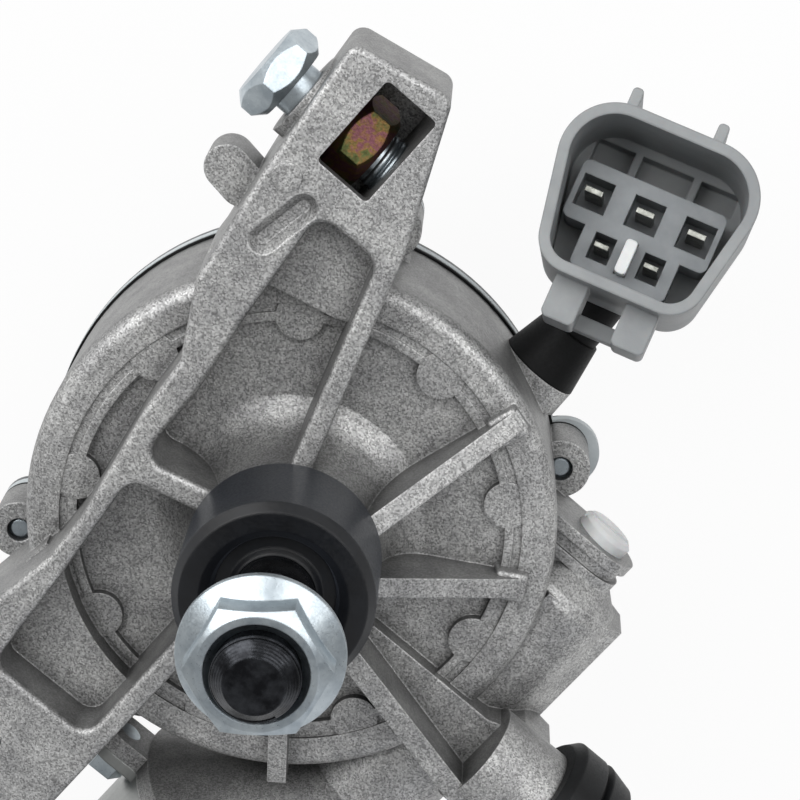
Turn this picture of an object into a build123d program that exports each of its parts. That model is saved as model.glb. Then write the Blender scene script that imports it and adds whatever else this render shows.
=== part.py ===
from build123d import *
import math
import os

os.makedirs("parts", exist_ok=True)

# Wiper motor. All sizes in millimetres.
# The frame: +Z runs up the output shaft, the origin is on the shaft's axis at the back cover's face,
# and the armature lies along Y with the motor towards -Y.

# Clearances and fits
running_gap = 0.05
press_gap = 0.02
assembly_gap = 0.3

# Gear case, heights from the back cover's outer face
deck_z = 34.0
drum_radius = 41.5
drum_wall = 3.5
deck_wall = 4.5
cover_depth = 3.2
cover_sheet = 1.2
cover_overhang = 0.5
cover_dish_start = 7.5
cover_dish_end = 5.0
cover_bend = 0.8
contact_plate_thickness = 2.0
gasket_thickness = 0.8
rim_width = 5.5
rim_round = 2.6
pad_circle_radius = 34.0
pad_radius = 3.75
pad_count = 9
first_pad_angle = 128.0
pad_ring_width = 1.4
pad_proud = 0.3
terrace_drop = 0.5
deck_drop = 1.7

# Cover lugs, as angles round the drum
lug_angles = (46.0, 112.0, 231.5, 275.0)
lug_reaches = (0.9, 4.0, 5.4, 4.0)
lug_spread = 14.0
plate_tab_angle = 45.0
plate_tab_reach = 1.6
plate_tab_radius = 5.9
lug_radius = 4.8
lug_height = 9.0
screw_radius = 2.0
screw_head_radius = 3.6
screw_head_height = 1.9
screw_end_depth = 0.8
screw_slot_length = 3.6
screw_slot_width = 0.9
screw_slot_depth = 1.0

# Hub and shaft
hub_foot_radius = 21.0
hub_radius = 13.0
hub_top_z = 57.0
hub_flare_top_z = 46.0
bush_outer_radius = 8.0
bush_wall = 3.5
bush_set_up = 0.3
bush_length = 12.0
shaft_radius = 6.0
shaft_bottom_z = 12.5
shaft_top_z = 93.6
shaft_tip_radius = 4.2
washer_thickness = 1.0
washer_outer_radius = 9.5
circlip_thickness = 1.2
circlip_groove_depth = 0.6
circlip_outer_radius = 8.2
serration_bottom_z = 68.0
serration_top_z = 80.0
serration_depth = 0.35
serration_count = 24
seal_height = 3.0
shaft_foot_chamfer = 0.6
cap_outer_radius = 14.85
cap_front_radius = 13.65
cap_bottom_z = 46.5
cap_top_z = 64.2
cap_dish_radius = 9.5
cap_dish_depth = 3.4
cap_lip_thickness = 0.9
nut_bottom_z = 82.4
nut_top_z = 89.8
nut_flange_radius = 11.8
nut_flange_height = 1.8
nut_across_flats = 18.0
nut_turn = 41.0
nut_countersink = 1.3

# Worm gearing
worm_x = 41.0
worm_z = 20.0
gear_module = 1.2
wheel_teeth = 60
wheel_face = 9.0
tooth_thickness = 1.7
thread_thickness = 1.7
tooth_addendum = 0.95
tooth_dedendum = 1.25
flank_angle = 20.0
worm_length = 27.0
wheel_hub_radius = 12.0
wheel_hub_overhang = 2.0
wheel_web = 3.6
wheel_rim = 4.0
wheel_hole_count = 6
wheel_hole_radius = 4.5
contact_disc_thickness = 0.8
contact_disc_inner_radius = 13.0
contact_disc_outer_radius = 30.0
park_notch_angle = 40.0
park_track_width = 6.5
park_notch_point = 14.0
contact_gap = 0.1
finger_sheet = 0.4
finger_width = 3.0
finger_edge_gap = 3.0
finger_pitch = 5.5
finger_count = 3
finger_foot = 6.0
finger_reach = 13.0

# Worm tunnel and motor, as distances from the output shaft's line towards the motor
tunnel_radius = 11.2
tunnel_bore_radius = 7.4
nose_bore_radius = 4.0
nose_bore_end = -16.0
tunnel_nose = -27.5
tunnel_nose_radius = 6.0
tunnel_shoulder_radius = 10.4
nose_web_reach = 13.0
nose_web_length = 9.0
tunnel_shoulder = -19.0
tunnel_nose_base = -22.0
shoulder_start = -18.0
shoulder_end = 10.0
shoulder_outline = (
    (-6.0, 0.0),
    (-3.0, 11.4),
    (7.0, 8.2),
    (13.0, 2.0),
    (13.2, -6.0),
    (7.0, -13.0),
    (-6.0, -13.0),
)
collar_width = 1.9
collar_height = 0.8
plug_radius = 4.6
plug_depth = 4.0
plug_proud = 2.2
plug_slot_width = 1.4
plug_slot_depth = 1.2
armature_shaft_radius = 4.0
shaft_nose = -20.5
bearing_start = 21.0
bearing_length = 8.0
bearing_outer_radius = 9.5
funnel_start = 31.0
funnel_end = 50.0
funnel_radius = 30.5
motor_flange_thickness = 3.0
motor_ear_centre = 34.5
motor_ear_radius = 4.7
yoke_screw_across_flats = 7.0
yoke_screw_head_height = 2.8
yoke_radius = 30.0
yoke_wall = 1.8
yoke_length = 60.0
yoke_boss_radius = 9.0
yoke_boss_length = 5.0
yoke_flange_thickness = 2.0
yoke_end_wall = 1.2
yoke_shoulder_round = 5.0
magnet_thickness = 5.5
magnet_arc = 130.0
magnet_start = 68.0
magnet_end = 102.0
core_radius = 21.8
core_start = 71.0
core_end = 99.0
core_slots = 12
slot_width = 4.0
slot_floor_radius = 12.0
slot_mouth_width = 1.6
tooth_tip_thickness = 2.0
winding_overhang = 5.0
winding_outer_radius = 19.5
commutator_radius = 9.5
commutator_start = 51.5
commutator_end = 64.0
commutator_bars = 12
commutator_slit_depth = 0.8
commutator_slit_width = 0.6
brush_plate_start = 47.5
brush_plate_thickness = 2.0
brush_plate_radius = 26.0
brush_width = 5.0
brush_depth = 8.0
brush_length = 8.0
brush_count = 3
first_brush_angle = 90.0
brush_spring_room = 4.0
spring_radius = 1.7
spring_wire = 0.5
spring_pitch = 1.3
brush_box_wall = 1.0
rear_bush_length = 5.0
rear_bush_outer_radius = 7.0

# Mounting arms
arm_top_z = 46.0
arm_bottom_z = 23.0
upper_arm_outline = ((-40.6, 43.5), (-43.0, 65.5), (-27.0, 68.9), (-17.2, 47.5), (-19.0, 43.5))
lower_arm_outline = ((-29.2, -43.5), (-28.0, -69.0), (-12.0, -72.0), (0.2, -56.5), (0.2, -43.5))
upper_flange_outline = ((-7.6, 8.5), (-20.4, 46.5), (-17.2, 47.5), (-4.4, 9.5))
lower_flange_outline = ((-3.4, -10.0), (-3.2, -46.0), (0.2, -46.0), (0.2, -10.0))
beam_outline = (
    (-40.6, 43.5),
    (-37.5, 24.3),
    (-31.2, 13.0),
    (-30.4, 4.0),
    (-26.6, -16.0),
    (-26.2, -24.0),
    (-29.2, -43.5),
    (-21.4, -44.5),
    (-22.8, -26.0),
    (-26.0, 3.0),
    (-26.0, 10.0),
    (-28.2, 24.0),
    (-30.4, 44.0),
)
upper_channel_outline = ((-38.0, 26.0), (-39.5, 45.0), (-18.5, 45.0), (-13.5, 32.0))
lower_channel_outline = ((-27.0, -26.0), (-28.5, -45.0), (-1.5, -45.0), (-1.5, -32.0))
channel_corners = (
    (-30.3, 43.5),
    (-19.4, 43.5),
    (-25.4, -2.4),
    (-24.9, -6.5),
    (-21.5, -43.5),
    (-3.2, -43.5),
)
channel_corner_round = 2.8
channel_floor_z = 37.5
channel_arc_radius = 35.5
deck_rib_thickness = 3.2
deck_rib_hub_rise = 14.0
deck_rib_end_rise = 1.2
upper_deck_rib = ((5.5, 7.0), (14.6, 37.6))
right_deck_rib = ((9.0, 2.2), (33.6, 17.2))
lower_deck_rib = ((8.0, -10.0), (26.0, -33.4))
lower_rib_thickness = 3.0
lower_rib_hub_rise = 12.0
lower_rib_end_rise = 3.0
cross_rib = ((-9.0, -0.1), (-27.0, -4.9))
cross_rib_width = 4.0
arm_corner_round = 2.2
arm_edge_round = 1.0
arm_slope_start = 50.0
arm_slope_end = 74.0
arm_slope_rise = 9.0
arm_bolt_y = (53.4, -56.9)
arm_bolt_z = 36.0
arm_face_x = (-42.75, -29.3)
arm_window_start_x = (-35.8, -21.6)
arm_window_y = (57.0, -60.5)
arm_window_width = 9.4
arm_window_length = 15.5
arm_window_depth = 18.0
arm_window_round = 0.8
arm_pocket_length = 19.2
arm_pocket_roof = 2.2
scoop_centre = (-33.3, 38.9)
scoop_length = 12.0
scoop_width = 4.4
scoop_depth = 1.6
scoop_turn = 80.0
ejector_centre = (-37.4, 44.6)
ejector_radius = 2.2
ejector_proud = 0.3
finger_lug_centre = (-42.2, 36.6)
finger_lug_length = 10.4
finger_lug_width = 7.0
finger_lug_turn = -8.0
finger_lug_rise = 2.0
finger_lug_height = 8.0
bolt_radius = 4.0
bolt_hole_radius = 4.4
bolt_length = 20.8
bolt_head_across_flats = 13.0
bolt_head_height = 5.3
bolt_head_gap = 2.1
bolt_head_chamfer = 1.7
bolt_turn = -20.0
arm_boss_radius = 6.9
small_nut_across_flats = 13.0
small_nut_height = 6.5
third_arm_y = -8.5
third_arm_tip_x = 58.0
third_boss_radius = 8.6
third_arm_top = 2.0
third_arm_outline = (
    (20.0, -3.0),
    (44.0, -3.0),
    (50.0, -0.8),
    (third_arm_tip_x - 2, -1.5),
    (third_arm_tip_x, -4.0),
    (third_arm_tip_x, -15.0),
    (50.0, -16.4),
    (20.0, -11.0),
)
third_arm_rib = ((8.0, -3.6), (third_arm_tip_x - 4, -15.0))
third_rib_thickness = 3.4
third_rib_end_rise = 9.0
third_boss_back = 3.0
third_boss_length = 9.0
grommet_radius = 12.0
grommet_neck_radius = 7.0
grommet_bore_radius = 5.2
grommet_round = 1.5
grommet_groove = 1.4
grommet_taper = 1.0
grommet_outer_length = 13.0
grommet_barb_height = 0.8
grommet_barb_start = 2.0
grommet_barb_length = 2.5
sleeve_bore_radius = 4.2

# Harness and connector
harness_angle = 66.0
harness_direction = 92.0
harness_z = 12.6
harness_boss_radius = 6.6
harness_set_in = 2.0
harness_boss_reach = 2.5
harness_boot_length = 8.0
harness_boot_taper = 11.0
harness_radius = 4.6
harness_grommet_radius = 5.6
harness_grommet_flange = 6.6
sleeve_first_run = 6.0
sleeve_last_run = 10.0
connector_front = Vector(5.1, 74.5, 40.0)
connector_axis = Vector(-0.278, 0.249, 0.928)
connector_wide = Vector(0.945, 0.315, 0.09)
shell_top_half_width = 17.2
shell_bottom_half_width = 12.0
shell_height = 26.6
shell_top_round = 8.5
shell_bottom_round = 5.5
shell_wall = 1.7
shell_depth = 20.0
shell_floor = 5.0
floor_slot_depth = 4.0
side_slot_x = 8.6
side_slot_width = 6.2
middle_slot_width = 8.4
shell_skirt_depth = 4.0
shell_skirt_wall = 2.4
insert_proud = 9.0
insert_width = 23.4
insert_height = 9.4
insert_foot_width = 15.4
insert_foot_height = 8.0
cavity_size = 5.0
cavity_pitch = 8.3
cavity_depth = 7.0
small_cavity_width = 3.4
small_cavity_height = 4.2
small_cavity_pitch = 8.0
large_blade = (2.8, 0.8)
small_blade = (2.2, 0.7)
blade_length = 10.0
lock_width = 1.8
lock_height = 5.4
lock_proud = 3.0
floor_slot_height = 3.6
insert_foot_gap = 1.0
blade_row_pitch = 7.1
slot_row_pitch = 7.8
key_rib_x = (-7.8, 5.8)
key_rib_width = 1.7
key_rib_proud = 2.8
key_rib_set_back = 1.0
latch_start = 4.5
latch_width = 16.4
latch_reach = 6.0
latch_length = 11.0
latch_post_width = 5.2
latch_bar_reach = 2.4
latch_bar_length = 4.0

# Places that follow from the sizes above
plate_z = cover_depth
lug_centres = [
    (
        (drum_radius + reach) * math.cos(math.radians(angle)),
        (drum_radius + reach) * math.sin(math.radians(angle)),
    )
    for reach, angle in zip(lug_reaches, lug_angles)
]
gasket_z = plate_z + contact_plate_thickness
flange_z = gasket_z + gasket_thickness
ceiling_z = deck_z - deck_wall
wheel_pitch_radius = gear_module * wheel_teeth / 2
worm_pitch_radius = worm_x - wheel_pitch_radius
thread_pitch = math.pi * gear_module
lead_slope = gear_module / (2 * worm_pitch_radius)
wheel_bottom_z = worm_z - wheel_face / 2
wheel_top_z = worm_z + wheel_face / 2
wheel_hub_top_z = wheel_top_z + wheel_hub_overhang
thrust_z = wheel_hub_top_z + running_gap
boss_bottom_z = thrust_z + washer_thickness + running_gap
washer_z = hub_top_z + running_gap
circlip_z = washer_z + washer_thickness + running_gap
yoke_mouth = funnel_end + motor_flange_thickness
yoke_end = yoke_mouth + yoke_length
magnet_outer_radius = yoke_radius - yoke_wall - press_gap
magnet_inner_radius = magnet_outer_radius - magnet_thickness
boss_start_x = third_arm_tip_x - third_boss_length
shell_inner_bottom_y = shell_wall - shell_height / 2
small_row_y = shell_inner_bottom_y + insert_foot_gap + insert_foot_height / 2
large_row_y = small_row_y + blade_row_pitch
floor_slot_y = large_row_y + slot_row_pitch
finger_first_x = -(contact_disc_outer_radius - finger_edge_gap)

worm_axis = Axis((worm_x, 0, worm_z), (0, -1, 0))
axial_plane = Plane(origin=(worm_x, 0, worm_z), x_dir=(0, -1, 0), z_dir=(0, 0, 1))
worm_plane = Plane(origin=(worm_x, 0, worm_z), x_dir=(1, 0, 0), z_dir=(0, -1, 0))
harness_plane = Plane(
    origin=(
        (drum_radius - harness_set_in) * math.cos(math.radians(harness_angle)),
        (drum_radius - harness_set_in) * math.sin(math.radians(harness_angle)),
        harness_z,
    ),
    x_dir=(0, 0, 1),
    z_dir=(math.cos(math.radians(harness_direction)), math.sin(math.radians(harness_direction)), 0),
)
harness_reach = harness_set_in + harness_boss_reach


def across(plane, distance):
    """The plane moved along its own normal."""
    return plane.offset(distance)


def polar(radius, angle):
    """A point of the plan, from a radius and an angle in degrees."""
    return (radius * math.cos(math.radians(angle)), radius * math.sin(math.radians(angle)))


def rib(start, end, thickness, low_z, start_top_z, end_top_z):
    """A straight casting rib between two points of the plan, with a sloping top."""
    run = Vector(end[0] - start[0], end[1] - start[1], 0)
    side = run.normalized().cross(Vector(0, 0, 1))
    plane = Plane(origin=(start[0], start[1], 0), x_dir=run.normalized(), z_dir=side)
    with BuildPart() as wall:
        with BuildSketch(plane.offset(-thickness / 2)):
            with BuildLine():
                Polyline(
                    (0, low_z),
                    (run.length, low_z),
                    (run.length, end_top_z),
                    (0, start_top_z),
                    close=True,
                )
            make_face()
        extrude(amount=thickness)
    return wall.part


def strip(start, end, width):
    """The four corners of a straight strip of the plan, from its middle line."""
    run = Vector(end[0] - start[0], end[1] - start[1], 0).normalized()
    side = run.cross(Vector(0, 0, 1)) * (width / 2)
    corners = [(start, side), (end, side), (end, -side), (start, -side)]
    return [(point[0] + move.X, point[1] + move.Y) for point, move in corners]


def lug_plan():
    """The plan of all the cover lugs, each with a neck that reaches into the drum's wall."""
    with BuildSketch() as plan:
        for centre, angle in zip(lug_centres, lug_angles):
            with BuildLine():
                Polyline(
                    polar(drum_radius - drum_wall, angle - lug_spread),
                    polar(drum_radius - drum_wall, angle + lug_spread),
                    centre,
                    close=True,
                )
            make_face()
        with Locations(*lug_centres):
            Circle(lug_radius)
    return plan.sketch


def hexagon_block(plane, across_flats, height, rim, turn):
    """A hexagon whose corners are rounded off at both ends, as on a bolt head."""
    with BuildPart() as block:
        with BuildSketch(plane):
            Circle(across_flats / math.sqrt(3))
        extrude(amount=height)
        chamfer(block.edges().filter_by(GeomType.CIRCLE), rim)
        with BuildSketch(plane):
            RegularPolygon(across_flats / 2, 6, major_radius=False, rotation=turn)
        extrude(amount=height, mode=Mode.INTERSECT)
    return block.part


# Arms of the casting in one plan: the outer beam, the two boxed ends, the flanges and the cross rib
with BuildPart() as arm_frame:
    with BuildSketch(Plane.XY.offset(arm_bottom_z)) as arm_plan:
        for outline in (upper_arm_outline, lower_arm_outline, beam_outline):
            with BuildLine():
                Polyline(*outline, close=True)
            make_face()
        for outline in (upper_flange_outline, lower_flange_outline):
            with BuildLine():
                Polyline(*outline, close=True)
            make_face()
        with BuildLine():
            Polyline(*strip(*cross_rib, cross_rib_width), close=True)
        make_face()
        tips = arm_plan.vertices().sort_by(Axis.Y)
        fillet(tips[:2] + tips[-2:], arm_corner_round)
        inner_corners = [
            arm_plan.vertices().sort_by_distance((*corner, arm_bottom_z))[0] for corner in channel_corners
        ]
        fillet(inner_corners, channel_corner_round)
    extrude(amount=arm_top_z - arm_bottom_z)
    fillet(arm_frame.edges().group_by(Axis.Z)[-1], arm_edge_round)
    # undersides that rise towards the arms' tips
    for side in (1, -1):
        with BuildSketch(Plane.YZ):
            with BuildLine():
                Polyline(
                    (side * arm_slope_start, arm_bottom_z),
                    (side * arm_slope_end, arm_bottom_z),
                    (side * arm_slope_end, arm_bottom_z + arm_slope_rise),
                    close=True,
                )
            make_face()
        extrude(amount=drum_radius + arm_window_length, both=True, mode=Mode.SUBTRACT)
    # bolt bosses, windows with the wider pocket under their edge, and bolt holes
    for face_x, window_x, bolt_y, window_y in zip(arm_face_x, arm_window_start_x, arm_bolt_y, arm_window_y):
        with BuildSketch(Plane.YZ.offset(face_x)):
            with Locations((bolt_y, arm_bolt_z)):
                Circle(arm_boss_radius)
        extrude(amount=window_x - face_x)
        with BuildSketch(Plane.XY.offset(arm_top_z)):
            with Locations((window_x + arm_window_width / 2, window_y)):
                RectangleRounded(arm_window_width, arm_window_length, arm_window_round)
        extrude(amount=-arm_window_depth, mode=Mode.SUBTRACT)
        pocket_shift = math.copysign((arm_pocket_length - arm_window_length) / 2, window_y)
        with BuildSketch(Plane.XY.offset(arm_top_z - arm_pocket_roof)):
            with Locations((window_x + arm_window_width / 2, window_y - pocket_shift)):
                RectangleRounded(arm_window_width, arm_pocket_length, arm_window_round)
        extrude(amount=arm_pocket_roof - arm_window_depth, mode=Mode.SUBTRACT)
        with BuildSketch(Plane.YZ.offset(face_x)):
            with Locations((bolt_y, arm_bolt_z)):
                Circle(bolt_hole_radius)
        extrude(amount=bolt_length + 2, mode=Mode.SUBTRACT)
    # scoop and ejector mark on the upper arm
    with BuildSketch(Plane.XY.offset(arm_top_z)):
        with Locations(scoop_centre):
            SlotOverall(scoop_length, scoop_width, rotation=scoop_turn)
    extrude(amount=-scoop_depth, taper=40, mode=Mode.SUBTRACT)
    with BuildSketch(Plane.XY.offset(arm_top_z)):
        with Locations(ejector_centre):
            Circle(ejector_radius)
    extrude(amount=ejector_proud)

# Gear housing: drum, hub, tunnel, arms and ribs in one casting
with BuildPart() as gear_housing:
    # drum with its rounded shoulder
    with BuildSketch(Plane.XY.offset(flange_z)):
        Circle(drum_radius)
    extrude(amount=deck_z - flange_z)
    fillet(gear_housing.edges().group_by(Axis.Z)[-1], rim_round)
    # terrace inside the rim, and the lower deck inside the ring
    with BuildSketch(Plane.XY.offset(deck_z)):
        Circle(drum_radius - rim_width)
    extrude(amount=-terrace_drop, mode=Mode.SUBTRACT)
    with BuildSketch(Plane.XY.offset(deck_z)):
        Circle(pad_circle_radius - pad_ring_width / 2)
    extrude(amount=-deck_drop, mode=Mode.SUBTRACT)
    # raised ring and its round pads
    with BuildSketch(Plane.XY.offset(deck_z - deck_drop)):
        Circle(pad_circle_radius + pad_ring_width / 2)
        Circle(pad_circle_radius - pad_ring_width / 2, mode=Mode.SUBTRACT)
        with PolarLocations(pad_circle_radius, pad_count, start_angle=first_pad_angle):
            Circle(pad_radius)
    extrude(amount=deck_drop - terrace_drop + pad_proud)
    # flared hub
    with BuildSketch(Plane.XZ):
        with BuildLine():
            foot = (hub_foot_radius, deck_z - deck_drop)
            waist = (hub_radius, hub_flare_top_z)
            Polyline((hub_radius, hub_top_z), (0, hub_top_z), (0, foot[1]), foot)
            Spline(foot, waist, tangents=((-1, 0.25), (-0.2, 1)))
            Line(waist, (hub_radius, hub_top_z))
        make_face()
    revolve(axis=Axis.Z)
    # cover lugs
    with BuildSketch(Plane.XY.offset(flange_z)):
        add(lug_plan())
    extrude(amount=lug_height)
    # worm tunnel, funnel and motor flange turned about the worm's axis
    with BuildSketch(axial_plane):
        with BuildLine():
            Polyline(
                (tunnel_nose, 0),
                (tunnel_nose, tunnel_nose_radius + collar_height),
                (tunnel_nose + collar_width, tunnel_nose_radius + collar_height),
                (tunnel_nose + collar_width, tunnel_nose_radius),
                (tunnel_nose + 2 * collar_width, tunnel_nose_radius),
                (tunnel_nose + 2 * collar_width, tunnel_nose_radius + collar_height),
                (tunnel_nose_base, tunnel_nose_radius + collar_height),
                (tunnel_shoulder, tunnel_shoulder_radius),
                (tunnel_shoulder + collar_width, tunnel_radius),
                (funnel_start, tunnel_radius),
                (funnel_end, funnel_radius),
                (yoke_mouth, funnel_radius),
                (yoke_mouth, 0),
                close=True,
            )
        make_face()
    revolve(axis=worm_axis)
    # flat sided block of the casting along the tunnel
    with BuildSketch(across(worm_plane, shoulder_start)):
        with BuildLine():
            Polyline(*shoulder_outline, close=True)
        make_face()
    extrude(amount=shoulder_end - shoulder_start)
    # web that joins the nose to the drum, with its two beads
    with BuildSketch(across(worm_plane, tunnel_nose + collar_width / 2)):
        with Locations((-nose_web_reach / 2, 0)):
            Rectangle(nose_web_reach, 2 * tunnel_nose_radius)
    extrude(amount=nose_web_length)
    second_bead = tunnel_nose + 2 * collar_width
    beads = ((tunnel_nose, collar_width), (second_bead, tunnel_nose_base - second_bead))
    for bead_start, bead_width in beads:
        with BuildSketch(across(worm_plane, bead_start)):
            with Locations((-nose_web_reach / 2, 0)):
                Rectangle(nose_web_reach, 2 * (tunnel_nose_radius + collar_height))
        extrude(amount=bead_width)
    # ears of the motor flange
    with BuildSketch(across(worm_plane, funnel_end)):
        with GridLocations(2 * motor_ear_centre, 1, 2, 1):
            Circle(motor_ear_radius)
        Rectangle(2 * motor_ear_centre, 2 * motor_ear_radius)
    extrude(amount=motor_flange_thickness)
    # beam and boxed arms
    add(arm_frame.part)
    # raised floors between beam and flanges, outside an arc about the shaft
    with BuildSketch(Plane.XY.offset(arm_bottom_z)):
        for outline in (upper_channel_outline, lower_channel_outline):
            with BuildLine():
                Polyline(*outline, close=True)
            make_face()
        Circle(channel_arc_radius, mode=Mode.SUBTRACT)
    extrude(amount=channel_floor_z - arm_bottom_z)
    # ribs across the deck
    hub_end_z = deck_z + deck_rib_hub_rise
    for ends in (upper_deck_rib, right_deck_rib):
        add(rib(*ends, deck_rib_thickness, ceiling_z, hub_end_z, deck_z + deck_rib_end_rise))
    hub_end_z = deck_z + lower_rib_hub_rise
    add(rib(*lower_deck_rib, lower_rib_thickness, ceiling_z, hub_end_z, deck_z + lower_rib_end_rise))
    # third arm: channel with two flanges and a cross boss
    with BuildSketch(Plane.XY.offset(arm_bottom_z)):
        with BuildLine():
            Polyline(*third_arm_outline, close=True)
        make_face()
    extrude(amount=deck_z + third_arm_top - arm_bottom_z)
    add(rib(*third_arm_rib, third_rib_thickness, ceiling_z, hub_end_z, deck_z + third_rib_end_rise))
    with BuildSketch(Plane.YZ.offset(boss_start_x - third_boss_back)):
        with Locations((third_arm_y, arm_bolt_z)):
            Circle(third_boss_radius)
    extrude(amount=third_boss_back + third_boss_length)
    # small finger lug on the outside of the upper arm
    with BuildSketch(Plane.XY.offset(arm_bottom_z + finger_lug_rise)):
        with Locations(finger_lug_centre):
            SlotOverall(finger_lug_length, finger_lug_width, rotation=finger_lug_turn)
    extrude(amount=finger_lug_height)
    # boss of the harness outlet
    with BuildSketch(harness_plane):
        Circle(harness_boss_radius)
    extrude(amount=harness_reach)
    # gear chamber, worm bore and motor chamber
    with BuildSketch(Plane.XY.offset(flange_z)):
        Circle(drum_radius - drum_wall)
    extrude(amount=ceiling_z - flange_z, mode=Mode.SUBTRACT)
    with BuildSketch(Plane.XY.offset(boss_bottom_z)):
        Circle(bush_outer_radius + bush_wall)
    extrude(amount=ceiling_z - boss_bottom_z + bush_set_up)
    with BuildSketch(axial_plane):
        with BuildLine():
            Polyline(
                (shaft_nose - 4.0, 0),
                (shaft_nose - 4.0, nose_bore_radius),
                (nose_bore_end, nose_bore_radius),
                (nose_bore_end, tunnel_bore_radius),
                (bearing_start, tunnel_bore_radius),
                (bearing_start, bearing_outer_radius + press_gap),
                (bearing_start + bearing_length, bearing_outer_radius + press_gap),
                (bearing_start + bearing_length + 3, bearing_outer_radius + press_gap),
                (brush_plate_start, brush_plate_radius + press_gap),
                (yoke_mouth, brush_plate_radius + press_gap),
                (yoke_mouth, 0),
                close=True,
            )
        make_face()
    revolve(axis=worm_axis, mode=Mode.SUBTRACT)
    with BuildSketch(across(worm_plane, tunnel_nose)):
        Circle(plug_radius + press_gap)
    extrude(amount=plug_depth + 1, mode=Mode.SUBTRACT)
    # shaft bore with its two bush seats
    with BuildSketch(Plane.XY.offset(boss_bottom_z)):
        Circle(bush_outer_radius + press_gap)
    extrude(amount=hub_top_z - boss_bottom_z, mode=Mode.SUBTRACT)
    # grommet bore in the third arm, with the groove for its barb
    with BuildSketch(Plane.YZ.offset(boss_start_x)):
        with Locations((third_arm_y, arm_bolt_z)):
            Circle(grommet_neck_radius + press_gap)
    extrude(amount=third_boss_length, mode=Mode.SUBTRACT)
    with BuildSketch(Plane.YZ.offset(boss_start_x + grommet_barb_start)):
        with Locations((third_arm_y, arm_bolt_z)):
            Circle(grommet_neck_radius + grommet_barb_height + press_gap)
    extrude(amount=grommet_barb_length, mode=Mode.SUBTRACT)
    # pilot holes in the cover lugs
    with BuildSketch(Plane.XY.offset(flange_z)):
        with Locations(*lug_centres):
            Circle(screw_radius + press_gap)
    extrude(amount=lug_height, mode=Mode.SUBTRACT)
    # threaded holes for the yoke screws
    with BuildSketch(across(worm_plane, funnel_end)):
        with GridLocations(2 * motor_ear_centre, 1, 2, 1):
            Circle(screw_radius + press_gap)
    extrude(amount=motor_flange_thickness, mode=Mode.SUBTRACT)
    # harness outlet through the drum's wall
    with BuildSketch(across(harness_plane, -drum_wall)):
        Circle(harness_grommet_radius + press_gap)
    extrude(amount=drum_wall + harness_reach, mode=Mode.SUBTRACT)
gear_housing.part.label = "gear_housing"
export_step(gear_housing.part, "parts/gear_housing.step")

# Back cover: stamped steel dish with screw tabs
with BuildPart() as back_cover:
    with BuildSketch(Plane.XZ):
        with BuildLine():
            Polyline(
                (0, 0),
                (drum_radius - cover_dish_start, 0),
                (drum_radius - cover_dish_end, cover_depth - cover_sheet),
                (drum_radius + cover_overhang, cover_depth - cover_sheet),
                (drum_radius + cover_overhang, cover_depth),
                (drum_radius - cover_dish_end - cover_bend, cover_depth),
                (drum_radius - cover_dish_start - cover_bend, cover_sheet),
                (0, cover_sheet),
                close=True,
            )
        make_face()
    revolve(axis=Axis.Z)
    with BuildSketch(Plane.XY.offset(cover_depth - cover_sheet)):
        add(lug_plan())
        Circle(drum_radius - 4, mode=Mode.SUBTRACT)
    extrude(amount=cover_sheet)
    with BuildSketch(Plane.XY):
        with Locations(*lug_centres):
            Circle(screw_radius + press_gap)
    extrude(amount=cover_depth, mode=Mode.SUBTRACT)
back_cover.part.label = "back_cover"
export_step(back_cover.part, "parts/back_cover.step")

# Contact plate: moulded carrier between cover and gasket, with the shaft's thrust boss
with BuildPart() as contact_plate:
    with BuildSketch(Plane.XY.offset(plate_z)):
        Circle(drum_radius + cover_overhang)
        add(lug_plan())
        with Locations(polar(drum_radius + plate_tab_reach, plate_tab_angle)):
            Circle(plate_tab_radius)
    extrude(amount=contact_plate_thickness)
    with BuildSketch(Plane.XY.offset(gasket_z)):
        Circle(shaft_radius + 1)
    extrude(amount=shaft_bottom_z - running_gap - gasket_z)
    with BuildSketch(Plane.XY.offset(plate_z)):
        with Locations(*lug_centres):
            Circle(screw_radius + press_gap)
    extrude(amount=contact_plate_thickness, mode=Mode.SUBTRACT)
contact_plate.part.label = "contact_plate"
export_step(contact_plate.part, "parts/contact_plate.step")

# Gasket between the contact plate and the casting
with BuildPart() as cover_gasket:
    with BuildSketch(Plane.XY.offset(gasket_z)):
        Circle(drum_radius + 0.4)
        add(lug_plan())
        Circle(drum_radius - drum_wall, mode=Mode.SUBTRACT)
        with Locations(*lug_centres):
            Circle(screw_radius + press_gap, mode=Mode.SUBTRACT)
    extrude(amount=gasket_thickness)
cover_gasket.part.label = "cover_gasket"
export_step(cover_gasket.part, "parts/cover_gasket.step")

# Cover screws: pan heads under the cover, ends showing at the top of the lugs
with BuildPart() as cover_screws:
    with BuildSketch(Plane.XY.offset(cover_depth - cover_sheet)):
        with Locations(*lug_centres):
            Circle(screw_head_radius)
    extrude(amount=-screw_head_height)
    with BuildSketch(Plane.XY.offset(cover_depth - cover_sheet)):
        with Locations(*lug_centres):
            Circle(screw_radius)
    extrude(amount=flange_z + lug_height - screw_end_depth - cover_depth + cover_sheet)
    chamfer(cover_screws.edges().group_by(Axis.Z)[-1], 0.6)
    with BuildSketch(Plane.XY.offset(cover_depth - cover_sheet - screw_head_height)):
        with Locations(*lug_centres):
            Rectangle(screw_slot_length, screw_slot_width)
            Rectangle(screw_slot_width, screw_slot_length)
    extrude(amount=screw_slot_depth, mode=Mode.SUBTRACT)
cover_screws.part.label = "cover_screws"
export_step(cover_screws.part, "parts/cover_screws.step")

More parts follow.
